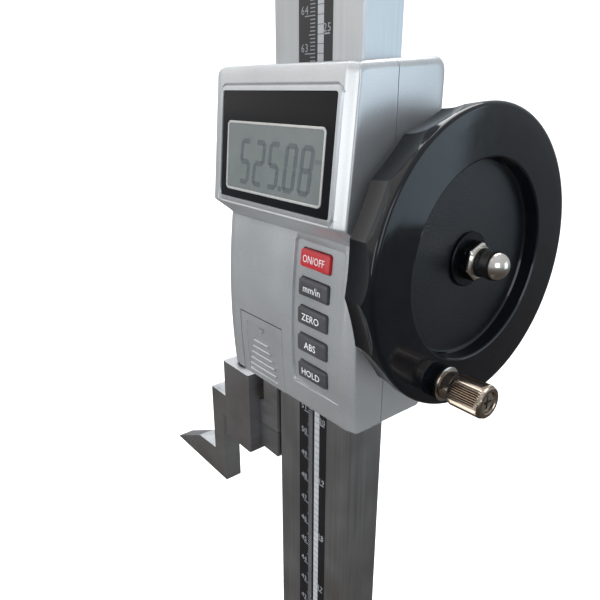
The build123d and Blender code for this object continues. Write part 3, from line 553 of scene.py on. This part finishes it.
def frame_ring(half_u, half_v, radius, profile):
    """A closed rounded ring: a profile of (o, w) points carried round the outline."""
    edge, normal = outline(half_u, half_v, radius)
    o, w = np.asarray(profile, float).T
    flat = edge[None] + normal[None] * o[:, None, None]
    high = np.broadcast_to(w[:, None], flat.shape[:2])
    local = np.concatenate([flat, high[..., None]], axis=2)
    return local.reshape(-1, 3), grid_faces(len(o), len(edge), wrap_rows=True, wrap_columns=True)


def on_brow(local, u0, v0):
    """From (u, v, w) on the display's leaning face to the part frame, in metres."""
    u, v, w = (local + np.array([u0, v0, 0])).T
    y = BROW_Y + v * math.sin(LEAN) - w * math.cos(LEAN)
    z = BROW_Z + v * math.cos(LEAN) + w * math.sin(LEAN)
    return np.stack([u, y, z], axis=1) / 1000


# Moulded acrylic, backed black: deep gloss with faint dust-fine waviness.
black_acrylic = grained(
    "Black_backed_acrylic", "060709", "0D0E12", (14, 14, 14), 0.0, 0.12, 0.05, 0.002,
    Specular_IOR_Level=0.15,
)
PANEL_HALF_V = (PANEL_V[1] - PANEL_V[0]) / 2
panel_profile = [(0, 0, -1.9), (1, -0.2, -1.9), (1, 0, -1.7), (1, 0, -0.15), (1, -0.15, 0), (0, 0, 0)]
panel, panel_faces = tablet(26.85, PANEL_HALF_V, 1.0, panel_profile)
window = solid_of(
    "display_window", on_brow(panel, 0, sum(PANEL_V) / 2), panel_faces, black_acrylic, "slider",
)
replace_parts(window, "display_bezel")
# Plated frame: pale satin nickel.
plated_frame = grained(
    "Satin_nickel_plate", "B4B4B2", "C6C6C4", (1, 1, 1), 0.6, 0.35, 0.05, 0.002,
)
LCD_V = (4.8, 25.8)
LCD_MID = sum(LCD_V) / 2
ring_profile = [(-0.75, -0.1), (-0.75, 0.2), (-0.6, 0.32), (-0.12, 0.32), (0, 0.2), (0, -0.1)]
ring, ring_faces = frame_ring(23.5, 10.5, 1.5, ring_profile)
lcd_frame = solid_of("screen_frame", on_brow(ring, 0, LCD_MID), ring_faces, plated_frame, "slider")
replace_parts(lcd_frame, "lcd_frame")
# Liquid crystal cell: matt grey-green polariser film over glass.
lcd_film = grained(
    "Grey_polariser_film", "616766", "6A706F", (6, 6, 6), 0.0, 0.35, 0.04, 0.0005,
)
film, film_faces = tablet(22.9, 9.9, 0.9, [(0, 0, -0.1), (1, 0, -0.1), (1, 0, 0.1), (0, 0, 0.1)])
screen = solid_of("screen_film", on_brow(film, 0, LCD_MID), film_faces, lcd_film, "slider")
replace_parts(screen, "lcd_glass")

# Seven-segment figures: each bar is a flat hexagon, leaning with the figure.
SEGMENTS = {
    "0": "abcdef", "2": "abged", "5": "afgcd", "8": "abcdefg",
}
FIGURE_W, FIGURE_H, BAR = 5.6, 13.7, 1.5
FIGURE_LEAN, FIGURE_DROP = 0.1, 1.3
bars_at = {
    "a": (0, 1, 0), "g": (0, 0, 0), "d": (0, -1, 0), "f": (-1, 0.5, 1), "b": (1, 0.5, 1),
    "e": (-1, -0.5, 1), "c": (1, -0.5, 1),
}
hexagon = np.array([(-1, 0), (-0.82, 0.5), (0.82, 0.5), (1, 0), (0.82, -0.5), (-0.82, -0.5)])


def segment(letter, middle_u, middle_v):
    """One bar of a figure as a closed six-sided plate, in the film's (u, v, w)."""
    side, level, upright = bars_at[letter]
    length = (FIGURE_H / 4 - 0.25) if upright else (FIGURE_W / 2 - BAR / 2 - 0.1)
    flat = hexagon * np.array([length, BAR])
    flat = flat[:, ::-1] if upright else flat
    flat = flat + np.array([side * (FIGURE_W - BAR) / 2, level * (FIGURE_H - BAR) / 2])
    flat[:, 0] += FIGURE_LEAN * flat[:, 1]
    flat = flat + np.array([middle_u, middle_v])
    lower = np.concatenate([flat, np.full((6, 1), 0.08)], axis=1)
    upper = np.concatenate([flat, np.full((6, 1), 0.13)], axis=1)
    walls = [[i, (i + 1) % 6, 6 + (i + 1) % 6, 6 + i] for i in range(6)]
    return np.concatenate([lower, upper]), [list(range(6)), list(range(6, 12)), *walls]


shown = []
for figure, middle_u in zip("52508", (-13.3, -5.9, 1.4, 9.2, 16.2)):
    shown += [segment(letter, middle_u, -FIGURE_DROP) for letter in SEGMENTS[figure]]
point, point_faces = tablet(0.7, 0.7, 0.2, [(0, 0, 0.08), (1, 0, 0.08), (1, 0, 0.13), (0, 0, 0.13)])
shown.append((point + np.array([4.9, -7.4, 0]), point_faces))
unit, unit_faces = lettering("mm", 1.9)
unit = np.stack([unit[:, 0] * 0.75 + 19.6, unit[:, 2] + 0.8, 0.1 - unit[:, 1]], axis=1)
shown.append((unit, unit_faces))
figures, figure_faces = joined(shown)
# Liquid crystal figures with the film between: only a little darker and bluer than it.
lcd_dark = grained("Liquid_crystal_figures", "4C5356", "53595C", (4, 4, 4), 0.0, 0.3, 0.05, 0.001)
reading = solid_of(
    "screen_figures", on_brow(figures, 0, LCD_MID), figure_faces, lcd_dark, "slider", smooth=False,
)


# ---- electronics ----------------------------------------------------------------------------------
# Inside the casing: the display module, a green circuit board, the reader that faces the
# scale strip, the rubber key mat, and the coin cell between its spring contacts.
# Moulded polycarbonate: clean white with a soft shine.
module_plastic = grained(
    "Moulded_white_polycarbonate", "DADAD6", "E8E8E4", (3, 3, 3), 0.0, 0.5, 0.1, 0.01,
)
finish_node("lcd_module", module_plastic)
# Solder mask over glass epoxy: even deep green.
board = grained("Solder_masked_glass_epoxy", "12492C", "1B6038", (1.2, 1.2, 1.2), 0.0, 0.4, 0.1, 0.02)
finish_node("circuit_board", board)
# Moulded nylon: dull near-black with a fine grain.
reader = grained("Moulded_black_nylon", "121214", "1D1D20", (0.8, 0.8, 0.8), 0.0, 0.5, 0.1, 0.01)
finish_node("reader_head", reader)
# Silicone rubber: matt mid grey.
key_mat = grained("Moulded_silicone_rubber", "46484B", "55575A", (1.5, 1.5, 1.5), 0.0, 0.7, 0.08, 0.02)
finish_node("keypad_mat", key_mat)
# Drawn nickel-plated steel: a bright, faintly brushed can.
cell_can = grained("Drawn_nickel_plated_can", "A9A7A1", "C4C2BC", (0.4, 0.4, 0.4), 1.0, 0.25, 0.05, 0.003)
finish_node("battery_cell", cell_can)
finish_node("battery_contacts", cell_can)


# ---- keys -------------------------------------------------------------------------------------------
# Five moulded caps on the rubber mat, each with its legend printed in white. The power key is
# red and the rest are dark grey. They stand a little proud and dip when pressed.
# Injection-moulded ABS: smooth satin, its colour right through.
red_plastic = grained("Moulded_red_ABS", "A61C24", "B8262E", (1.2, 1.2, 1.2), 0.0, 0.38, 0.06, 0.004)
grey_plastic = grained("Moulded_grey_ABS", "3A3A3D", "464649", (1.2, 1.2, 1.2), 0.0, 0.38, 0.06, 0.004)
white_ink = grained("White_pad_print", "CFCFCF", "E2E2E2", (0.6, 0.6, 0.6), 0.0, 0.5, 0.1, 0.002)
CAP_PROUD = 1.05
cap_profile = [
    (0, 0, -1.2), (1, -0.1, -1.2), (1, 0, -1.1), (1, 0, CAP_PROUD - 0.55),
    (1, -0.14, CAP_PROUD - 0.2), (1, -0.6, CAP_PROUD), (0.5, 0, CAP_PROUD + 0.1), (0, 0, CAP_PROUD + 0.12),
]
LEGENDS = {
    "power": ("ON/OFF", red_plastic), "units": ("mm/in", grey_plastic),
    "zero": ("ZERO", grey_plastic), "absolute": ("ABS", grey_plastic), "hold": ("HOLD", grey_plastic),
}
KEY_MID = sum(KEY_X) / 2
for row_z, (name, (legend, plastic)) in zip(KEY_ROWS, LEGENDS.items()):
    cap, cap_faces = tablet(6.65, 2.75, 0.9, cap_profile)
    lean = 2 * BELLY_FALL * (row_z - BELLY_MID) / BELLY_REACH ** 2
    front = belly(row_z) + 0.45

    def stand(local):
        """Stands (u, v, w) on the field's curved floor at this key's height."""
        u, v, w = local.T
        return np.stack([u + KEY_MID, front + v * lean - w, row_z + v + w * lean], axis=1) / 1000

    body = f"key_{name}"
    key = solid_of(f"cap_{name}", stand(cap), cap_faces, plastic, body)
    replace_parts(key, body)
    word, word_faces = lettering(legend, 2.3)
    word[:, 0] -= word[:, 0].max() / 2
    width = 9.6 if name == "power" else 9.0
    word[:, 0] *= min(1.0, width / np.ptp(word[:, 0]))
    flat = np.stack([word[:, 0] - 0.3, word[:, 2] - 1.15, CAP_PROUD + 0.14 - word[:, 1]], axis=1)
    print_name = f"legend_{name}"
    solid_of(print_name, stand(flat), word_faces, white_ink, body, smooth=False)


# ---- battery door ---------------------------------------------------------------------------------
# A painted cover let into the casing's foot, which slides down off the cell. Five ribs, wider
# towards the foot, stand in a sunk rest for the thumb below a small arrow.
DOOR_MID = sum(DOOR_X) / 2
door_z = np.concatenate([[601.7], ladder(602.2, 625.1, [603.4, 622.6], 1.2), [625.4]])
edge_x = np.array([-12.1, -11.95, -11.7])
door_x = np.concatenate([edge_x, ladder(-11.2, 11.2, [-8.7, 8.3], 1.5), -edge_x[::-1]])
fall_x = np.interp(np.abs(door_x), [11.7, 11.95, 12.1], [0, 0.05, 0.25])
thumb_rest = inside(door_x[None], door_z[:, None], (-8.7, 8.3), (603.4, 622.6), 1.0)
thumb_rest = 0.35 * ramp(-thumb_rest, 0, 0.25)
outside = np.stack(np.broadcast_arrays(
    door_x[None] + DOOR_MID, (belly(door_z) + 0.05)[:, None] + fall_x[None] + thumb_rest,
    door_z[:, None],
), axis=-1)
inner = outside + np.array([0, 1.35, 0])
layers = np.concatenate([outside, inner[:, ::-1]], axis=1)
count = len(door_x)
door_faces = grid_faces(len(door_z), 2 * count, wrap_columns=True)
low_cap = [[i, 2 * count - 1 - i, 2 * count - 2 - i, i + 1] for i in range(count - 1)]
top = (len(door_z) - 1) * 2 * count
high_cap = [[top + a, top + d, top + c, top + b] for a, b, c, d in low_cap]
door = solid_of(
    "sliding_door", layers.reshape(-1, 3) / 1000, door_faces + low_cap + high_cap,
    silver_paint, "battery_door",
)
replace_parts(door, "battery_door")
rib_profile = [(0, 0, -0.3), (1, 0, -0.3), (1, 0, 0.2), (1, -0.25, 0.45), (0, 0, 0.5)]
ribs = []
for rib in range(5):
    rib_z = 606.2 + 2.55 * rib
    local, rib_faces = tablet(7.9 - 0.9 * rib, 0.42, 0.4, rib_profile)
    u, v, w = local.T
    ribs.append((np.stack([u + DOOR_MID, belly(rib_z) - w, v + rib_z], axis=1) / 1000, rib_faces))
solid_of("door_ribs", *joined(ribs), silver_paint, "battery_door")
arrow = np.array([(-1.9, 621.6), (1.9, 621.6), (0, 619.9)])
arrow_points = np.concatenate([
    np.stack([arrow[:, 0] + DOOR_MID, belly(arrow[:, 1]) - out, arrow[:, 1]], axis=1)
    for out in (-0.1, 0.16)
])
arrow_faces = [[0, 1, 2], [3, 4, 5], [0, 1, 4, 3], [1, 2, 5, 4], [2, 0, 3, 5]]
door_arrow = solid_of(
    "door_arrow", arrow_points / 1000, arrow_faces, silver_paint, "battery_door", smooth=False,
)


# ---- handwheel ------------------------------------------------------------------------------------
# A moulded black phenolic wheel with finger hollows cut slanting into its rim from the back, a
# sunk grained disc, and a turned boss for the crank. It drives the pinion shaft through its
# hub, and a washer, a nut and a dome nut hold it on.
WHEEL_Y, WHEEL_Z = 11.3, 654.0
RIM_R, FACE_X, BACK_X = 42.6, 49.7, 38.6
RECESS_R, FLOOR_X, WEB_X = 28.4, 45.0, 41.6
LOBES, LOBE_PHASE = 17, math.radians(111.9)
SCOOP_R, SCOOP_SWEEP, SCOOP_DEPTH = 80.0, 21.1, 2.27
EDGE_ROUND = 1.2


def turned_points(profile, centre, steps, phase=0.0):
    """A profile of (x, r) turned about a line along X through a centre (y, z): y and z are
    the centre plus r times the cosine and sine of the turn."""
    x, r = np.asarray(profile, float).T
    angle = phase + np.arange(steps) * 2 * math.pi / steps
    y = centre[0] + r[:, None] * np.cos(angle)
    z = centre[1] + r[:, None] * np.sin(angle)
    return np.stack([np.broadcast_to(x[:, None], y.shape), y, z], axis=-1)


def turned(name, profile, centre, material, body, slot, steps=64, sharp=35):
    """A closed turned piece whose profile starts and ends on its axis."""
    points = turned_points(profile, centre, steps)
    faces = grid_faces(len(profile), steps, wrap_columns=True)
    made = solid_of(name, points.reshape(-1, 3) / 1000, faces, material, body, sharp=sharp)
    return made


def refinish(made, second, chosen):
    """Gives a second finish to the faces whose middles, in millimetres, pass the test."""
    made.data.materials.append(second)
    middles = np.zeros(len(made.data.polygons) * 3)
    made.data.polygons.foreach_get("center", middles)
    picked = chosen(middles.reshape(-1, 3) * 1000)
    made.data.polygons.foreach_set("material_index", picked.astype(np.int32))


edge = np.linspace(0, math.pi / 2, 12)[1:]
to_crease, to_edge = np.linspace(0, 1, 14), np.linspace(0, 1, 8)[1:]
wheel_profile = np.concatenate([
    [(36.7, 0), (36.7, 7.6), (37.0, 7.9), (WEB_X - 0.5, 7.9), (WEB_X, 8.6), (WEB_X, 33.8)],
    [(WEB_X - 0.6, 34.5), (BACK_X + 0.3, 34.6), (BACK_X, 34.9), (BACK_X, 36.0), (BACK_X, RIM_R - 3)],
    np.stack([np.full(21, BACK_X), np.full(21, RIM_R)], axis=1),
    np.stack([
        FACE_X - EDGE_ROUND * (1 - np.sin(edge)), RIM_R - EDGE_ROUND * (1 - np.cos(edge)),
    ], axis=1),
    [(FACE_X, 38.0), (FACE_X, RECESS_R + 0.6), (FACE_X - 0.1, RECESS_R + 0.25), (FACE_X - 0.4, RECESS_R)],
    [(FLOOR_X + 0.6, RECESS_R - 0.1), (FLOOR_X + 0.1, RECESS_R - 0.5), (FLOOR_X, RECESS_R - 0.9)],
    [(FLOOR_X, 15.0), (FLOOR_X, 0)],
])
rim_rows = slice(11, 32)
ROUND = LOBES * 24
wheel = turned_points(wheel_profile, (0, 0), ROUND, LOBE_PHASE)
lobe = np.arange(ROUND) * 2 * math.pi / ROUND
lobe = (lobe + math.pi / LOBES) % (2 * math.pi / LOBES) - math.pi / LOBES
# Each hollow is cut by a barrel turned about a line beside the wheel: at each x the barrel is
# a circle whose radius shrinks as it curves away, and the rim keeps what lies nearer than
# it. The rim's rows run from the back to the crease where the two meet, and on to the face.
far = RIM_R - SCOOP_DEPTH + SCOOP_R
meeting = np.hypot(far * np.cos(lobe) - RIM_R, far * np.sin(lobe))
crease = BACK_X + np.sqrt(SCOOP_SWEEP ** 2 - (meeting - SCOOP_R + SCOOP_SWEEP) ** 2)
wheel[rim_rows, :, 0] = np.concatenate([
    BACK_X + to_crease[:, None] * (crease - BACK_X),
    crease + to_edge[:, None] * (FACE_X - EDGE_ROUND - crease),
])
sweep = np.sqrt(SCOOP_SWEEP ** 2 - (wheel[rim_rows, :, 0] - BACK_X) ** 2)
barrel = SCOOP_R - SCOOP_SWEEP + sweep
hollow = far * np.cos(lobe) - np.sqrt(barrel ** 2 - (far * np.sin(lobe)) ** 2)
wheel[rim_rows, :, 1:] *= (np.minimum(RIM_R, hollow) / RIM_R)[..., None]
wheel[..., 1] += WHEEL_Y
wheel[..., 2] += WHEEL_Z
# Polished phenolic: a deep black with a wet shine that mirrors what stands near it.
phenolic = grained(
    "Polished_black_phenolic", "05070A", "0B0E13", (3, 3, 3), 0.0, 0.1, 0.03, 0.002,
    Specular_IOR_Level=0.32,
)
# Moulded phenolic: the same black with the mould's fine grain, which breaks up its shine.
grainy = grained(
    "Grained_black_phenolic", "05070A", "0D1016", (0.5, 0.5, 0.5), 0.0, 0.36, 0.1, 0.09,
    Specular_IOR_Level=0.4,
)
handwheel = solid_of(
    "finger_wheel", wheel.reshape(-1, 3) / 1000,
    grid_faces(len(wheel_profile), ROUND, wrap_columns=True), phenolic, "handwheel", sharp=10,
)
refinish(
    handwheel, grainy,
    lambda middle: np.hypot(middle[:, 1] - WHEEL_Y, middle[:, 2] - WHEEL_Z) < RECESS_R - 0.5,
)
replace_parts(handwheel, "handwheel")
HUB = (WHEEL_Y, WHEEL_Z)
CRANK_REACH, CRANK_TURN = 35.19, math.radians(246.55)
CRANK = (WHEEL_Y + CRANK_REACH * math.cos(CRANK_TURN), WHEEL_Z + CRANK_REACH * math.sin(CRANK_TURN))
HEX_R, HEX_TURN, HEX_STEPS = 5.75, math.radians(80), 96
boss_profile = [(48.5, 0), (48.5, 4.95), (51.7, 4.95), (51.98, 4.7), (51.98, 0)]
turned("crank_boss", boss_profile, CRANK, black_oxide, "handwheel", "black_oxide")
washer = turned(
    "hub_collar", [(44.9, 0), (44.9, 7.9), (45.75, 7.9), (46.0, 7.6), (46.0, 0)], HUB, black_oxide,
    "handwheel", "black_oxide",
)
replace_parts(washer, "hub_washer")
# Bright nickel plate: a softly clouded mirror. Over turned steel it shows fine lathe rings, and its colour
# there is darker and browner than the bright nickel: the plate's own colour with a painted brown
# reflection of warm surroundings.
nickel = grained("Bright_nickel_plate", "BDB8B1", "D2CDC6", (3, 3, 3), 1.0, 0.16, 0.05, 0.002)
nickel_painted_brown_reflection = grained(
    "Turned_nickel_painted_brown_reflection", "94887C", "B0A496", (0.25, 3, 3), 1.0, 0.15, 0.05, 0.002,
)


def nut(name, x0, x1, chamfer, material, crown_profile=()):
    """A hexagon along X whose corners are turned down at 30 degrees: its radius is the nearer
    of the flat's distance and the chamfer cone's. A crown's (x, r) profile may follow it."""
    angle = np.arange(HEX_STEPS) * 2 * math.pi / HEX_STEPS
    flat = HEX_R * math.cos(math.pi / 6)
    corner = (angle - HEX_TURN + math.pi / 6) % (math.pi / 3) - math.pi / 6
    to_flat = flat / np.cos(np.abs(corner) - math.pi / 6)
    rows_x = np.array([x0, x0, x1 - chamfer, x1 - chamfer * 0.5, x1, x1])
    limit = np.array([0, 9, 9, HEX_R - chamfer * 0.4, HEX_R - chamfer * 1.2, 4.3])
    r = np.minimum(to_flat[None], limit[:, None])
    if len(crown_profile):
        crown_x, crown_r = np.asarray(crown_profile, float).T
        rows_x = np.concatenate([rows_x, crown_x])
        r = np.concatenate([r, np.broadcast_to(crown_r[:, None], (len(crown_x), HEX_STEPS))])
    else:
        rows_x, r = np.append(rows_x, x1), np.concatenate([r, np.zeros((1, HEX_STEPS))])
    points = np.stack([
        np.broadcast_to(rows_x[:, None], r.shape), WHEEL_Y + r * np.cos(angle),
        WHEEL_Z + r * np.sin(angle),
    ], axis=-1)
    faces = grid_faces(len(rows_x), HEX_STEPS, wrap_columns=True)
    made = solid_of(name, points.reshape(-1, 3) / 1000, faces, material, "handwheel", sharp=30)
    return made


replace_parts(nut("jam_nut", 46.0, 47.55, 0.5, black_oxide), "hub_nut")
dome = np.linspace(-0.35, math.pi / 2, 14)
dome_profile = np.concatenate([
    [(49.6, 4.2), (50.6, 4.15), (51.2, 3.9)],
    np.stack([53.9 + 4.2 * np.sin(dome), 4.2 * np.cos(dome)], axis=1),
])
acorn = nut("acorn_nut", 47.6, 49.6, 0.9, nickel, dome_profile)
# Its flats take the jam nut's black oxide finish as a painted dark reflection of the black wheel, and only
# the chamfer and the crown are polished.
refinish(acorn, black_oxide, lambda middle: middle[:, 0] < 48.6)
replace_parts(acorn, "dome_nut")


# ---- crank knob -----------------------------------------------------------------------------------
# A plated steel knob that spins on a shouldered screw. Its barrel is straight knurled, its
# neck is smooth, and a thin bright washer parts it from the wheel's boss.
washer = turned(
    "bright_washer", [(52.0, 0), (52.0, 5.0), (52.3, 5.1), (52.38, 4.9), (52.38, 0)], CRANK,
    nickel, "handwheel", "nickel",
)
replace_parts(washer, "crank_washer")
KNURLS = 44
barrel_x = np.linspace(55.9, 65.0, 12)
knob_profile = np.concatenate([
    [(52.42, 1.9), (52.42, 3.9), (52.6, 4.25), (55.3, 4.25), (55.45, 4.45)],
    np.stack([barrel_x, np.full(12, 4.78)], axis=1),
    [(65.2, 4.5), (65.75, 4.4), (66.0, 4.1), (66.0, 3.2), (65.8, 3.02), (63.4, 3.02), (63.4, 1.9)],
])
knob = turned_points(knob_profile, (0, 0), KNURLS * 8)
along = knob[..., 0]
turn = np.arctan2(knob[..., 2], knob[..., 1])
ridge = np.abs((turn * KNURLS / (2 * math.pi)) % 1 - 0.5) * 2
cut = 0.3 * ridge * ((along > 55.6) & (along < 65.1))
scale = 1 - cut / np.maximum(np.hypot(knob[..., 1], knob[..., 2]), 1)
knob[..., 1] = knob[..., 1] * scale + CRANK[0]
knob[..., 2] = knob[..., 2] * scale + CRANK[1]
# The knob's darker brown plate colour is a painted brown reflection over the nickel.
knurled = solid_of(
    "knurled_knob", knob.reshape(-1, 3) / 1000,
    grid_faces(len(knob_profile), KNURLS * 8, wrap_rows=True, wrap_columns=True),
    nickel_painted_brown_reflection, "crank", sharp=30,
)
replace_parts(knurled, "crank_knob")
finish_node("crank_spindle", nickel)


# ---- scriber clamp --------------------------------------------------------------------------------
# A milled steel box that slides over the jaw bar and the scriber's shank and pinches them
# together. Its black thumb screw comes down from the top.
# Ground steel: fine lines from front to back and a soft grey shine.
clamp_steel = grained(
    "Ground_clamp_steel", "A0A0A2", "B0B0B2", (0.8, 12, 0.8), 1.0, 0.36, 0.07, 0.004,
)
finish_node("scriber_clamp", clamp_steel)
FLUTES = 22
SCREW_X, SCREW_Y = -43.0, -6.0
screw_profile = np.array([
    (582.0, 0), (582.0, 2.6), (582.4, 2.95), (594.1, 2.95), (594.1, 4.2), (594.4, 4.75),
    (594.6, 4.95), (595.9, 4.95), (596.2, 4.7), (596.3, 4.0), (596.3, 0),
])
height, r = screw_profile.T
turn = np.arange(FLUTES * 8) * 2 * math.pi / (FLUTES * 8)
flute = 0.32 * np.abs(np.sin(turn * FLUTES / 2))
r = r[:, None] - np.where(r[:, None] > 4.5, flute[None], 0)
screw = np.stack([
    SCREW_X + r * np.cos(turn), SCREW_Y + r * np.sin(turn),
    np.broadcast_to(height[:, None], r.shape),
], axis=-1)
thumb_screw = solid_of(
    "thumb_screw", screw.reshape(-1, 3) / 1000,
    grid_faces(len(screw_profile), len(turn), wrap_columns=True), black_oxide, "clamp_screw",
)
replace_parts(thumb_screw, "clamp_screw")


# ---- scriber --------------------------------------------------------------------------------------
# A ground tool steel blade: a shank under the jaw bar, a bar down, and a foot tapering to
# its point, which a brazed tungsten carbide tip makes hard wearing.
# Surface-ground tool steel: straight fine lines and a grey shine.
tool_steel = grained(
    "Ground_tool_steel", "A4A6A8", "B8BABC", (8, 8, 0.7), 1.0, 0.33, 0.06, 0.003,
)
finish_node("scriber_arm", tool_steel)
# Ground carbide: darker and finer grained than the steel that carries it.
carbide = grained(
    "Ground_tungsten_carbide", "8E8E92", "A0A0A4", (0.6, 0.6, 0.6), 0.9, 0.28, 0.06, 0.002,
)
finish_node("carbide_tip", carbide)


# ---- studio ---------------------------------------------------------------------------------------
# A pale matt floor that sweeps up behind the gauge, a white sky that is brown and dim below
# the horizon, as a bench would be in the metal, and soft boxes in front, at the right,
# behind, and above the sweep.
away = np.linspace(0, 1, 60)
rise = np.clip(away * 2 - 1, 0, 1) * math.pi / 2
along = np.where(away < 0.5, away * 12 - 3, 3 + 1.5 * np.sin(rise))
height = 1.5 * (1 - np.cos(rise))
along, height = np.append(along, 4.5), np.append(height, 6.0)
VIEW_TURN = math.radians(51.4)
back = np.array([-math.sin(VIEW_TURN), math.cos(VIEW_TURN), 0])
sideways = np.array([back[1], -back[0], 0])
sweep = (along[:, None, None] * back + np.array([-6, 6])[None, :, None] * sideways
         + height[:, None, None] * np.array([0, 0, 1]))
# Matt plaster: pale and without any shine.
plaster, shader = finish_named("Pale_matt_plaster", 0.0, 0.9)
shader.inputs["Base Color"].default_value = linear("F8F8F7")
mesh = bpy.data.meshes.new("studio_floor")
mesh.from_pydata(sweep.reshape(-1, 3).tolist(), [], grid_faces(len(along), 2))
mesh.materials.append(plaster)
floor = bpy.data.objects.new("studio_floor", mesh)
floor.visible_glossy = False
bpy.context.scene.collection.objects.link(floor)

sky = bpy.data.worlds.new("White_studio")
sky.use_nodes = True
tree = sky.node_tree
direction = tree.nodes.new("ShaderNodeTexCoord")
split = tree.nodes.new("ShaderNodeSeparateXYZ")
tree.links.new(direction.outputs["Generated"], split.inputs[0])
ramp_node = tree.nodes.new("ShaderNodeValToRGB")
stops = ramp_node.color_ramp.elements
stops[0].position, stops[0].color = 0.0, linear("5E5852")
stops[1].position, stops[1].color = 1.0, linear("F4F8FF")
for position, code in ((0.18, "625D59"), (0.33, "7A7774"), (0.43, "989C9F"), (0.52, "CDD2D5")):
    stop = stops.new(position)
    stop.color = linear(code)
lift = tree.nodes.new("ShaderNodeMapRange")
lift.inputs["From Min"].default_value = -1.0
tree.links.new(split.outputs[2], lift.inputs["Value"])
tree.links.new(lift.outputs[0], ramp_node.inputs[0])
tree.links.new(ramp_node.outputs[0], tree.nodes["Background"].inputs["Color"])
tree.nodes["Background"].inputs["Strength"].default_value = 1.0
bpy.context.scene.world = sky
bpy.context.scene.view_settings.view_transform = "Standard"


def lamp(name, place, aim, size, watts, code="FFFFFF"):
    """A square soft box of a size in metres at a place, aimed at a point."""
    light = bpy.data.lights.new(name, "AREA")
    light.size = size
    light.energy = watts
    light.color = linear(code)[:3]
    made = bpy.data.objects.new(name, light)
    bpy.context.scene.collection.objects.link(made)
    from_aim = np.array(place) - np.array(aim)
    flat = math.hypot(from_aim[0], from_aim[1])
    made.location = place
    made.rotation_euler = (
        math.atan2(flat, from_aim[2]), 0, math.atan2(from_aim[0], -from_aim[1]),
    )


HEAD_CENTRE = (0, 0, 0.65)
lamp("key_light", (-1.1, -0.9, 1.7), HEAD_CENTRE, 2.2, 9, "FFF0E0")
lamp("front_light", (-0.5, -1.5, 0.75), HEAD_CENTRE, 0.6, 4, "FFFFFF")
lamp("right_light", (1.5, -0.9, 1.2), HEAD_CENTRE, 1.0, 9, "F2F6FF")
lamp("rear_light", (1.3, 1.0, 0.75), HEAD_CENTRE, 0.9, 4.5, "CFE6F6")
lamp("floor_light", (-1.5, 1.5, 3.5), (-1.5, 1.5, 0), 3.0, 140)

eye = bpy.data.cameras.new("camera")
eye.lens = 34.95
eye.clip_start = 0.01
camera = bpy.data.objects.new("camera", eye)
camera.location = (0.14007, -0.12519, 0.69957)
camera.rotation_euler = (math.radians(90 - 19.99), math.radians(0.087), VIEW_TURN)
bpy.context.scene.collection.objects.link(camera)
bpy.context.scene.camera = camera
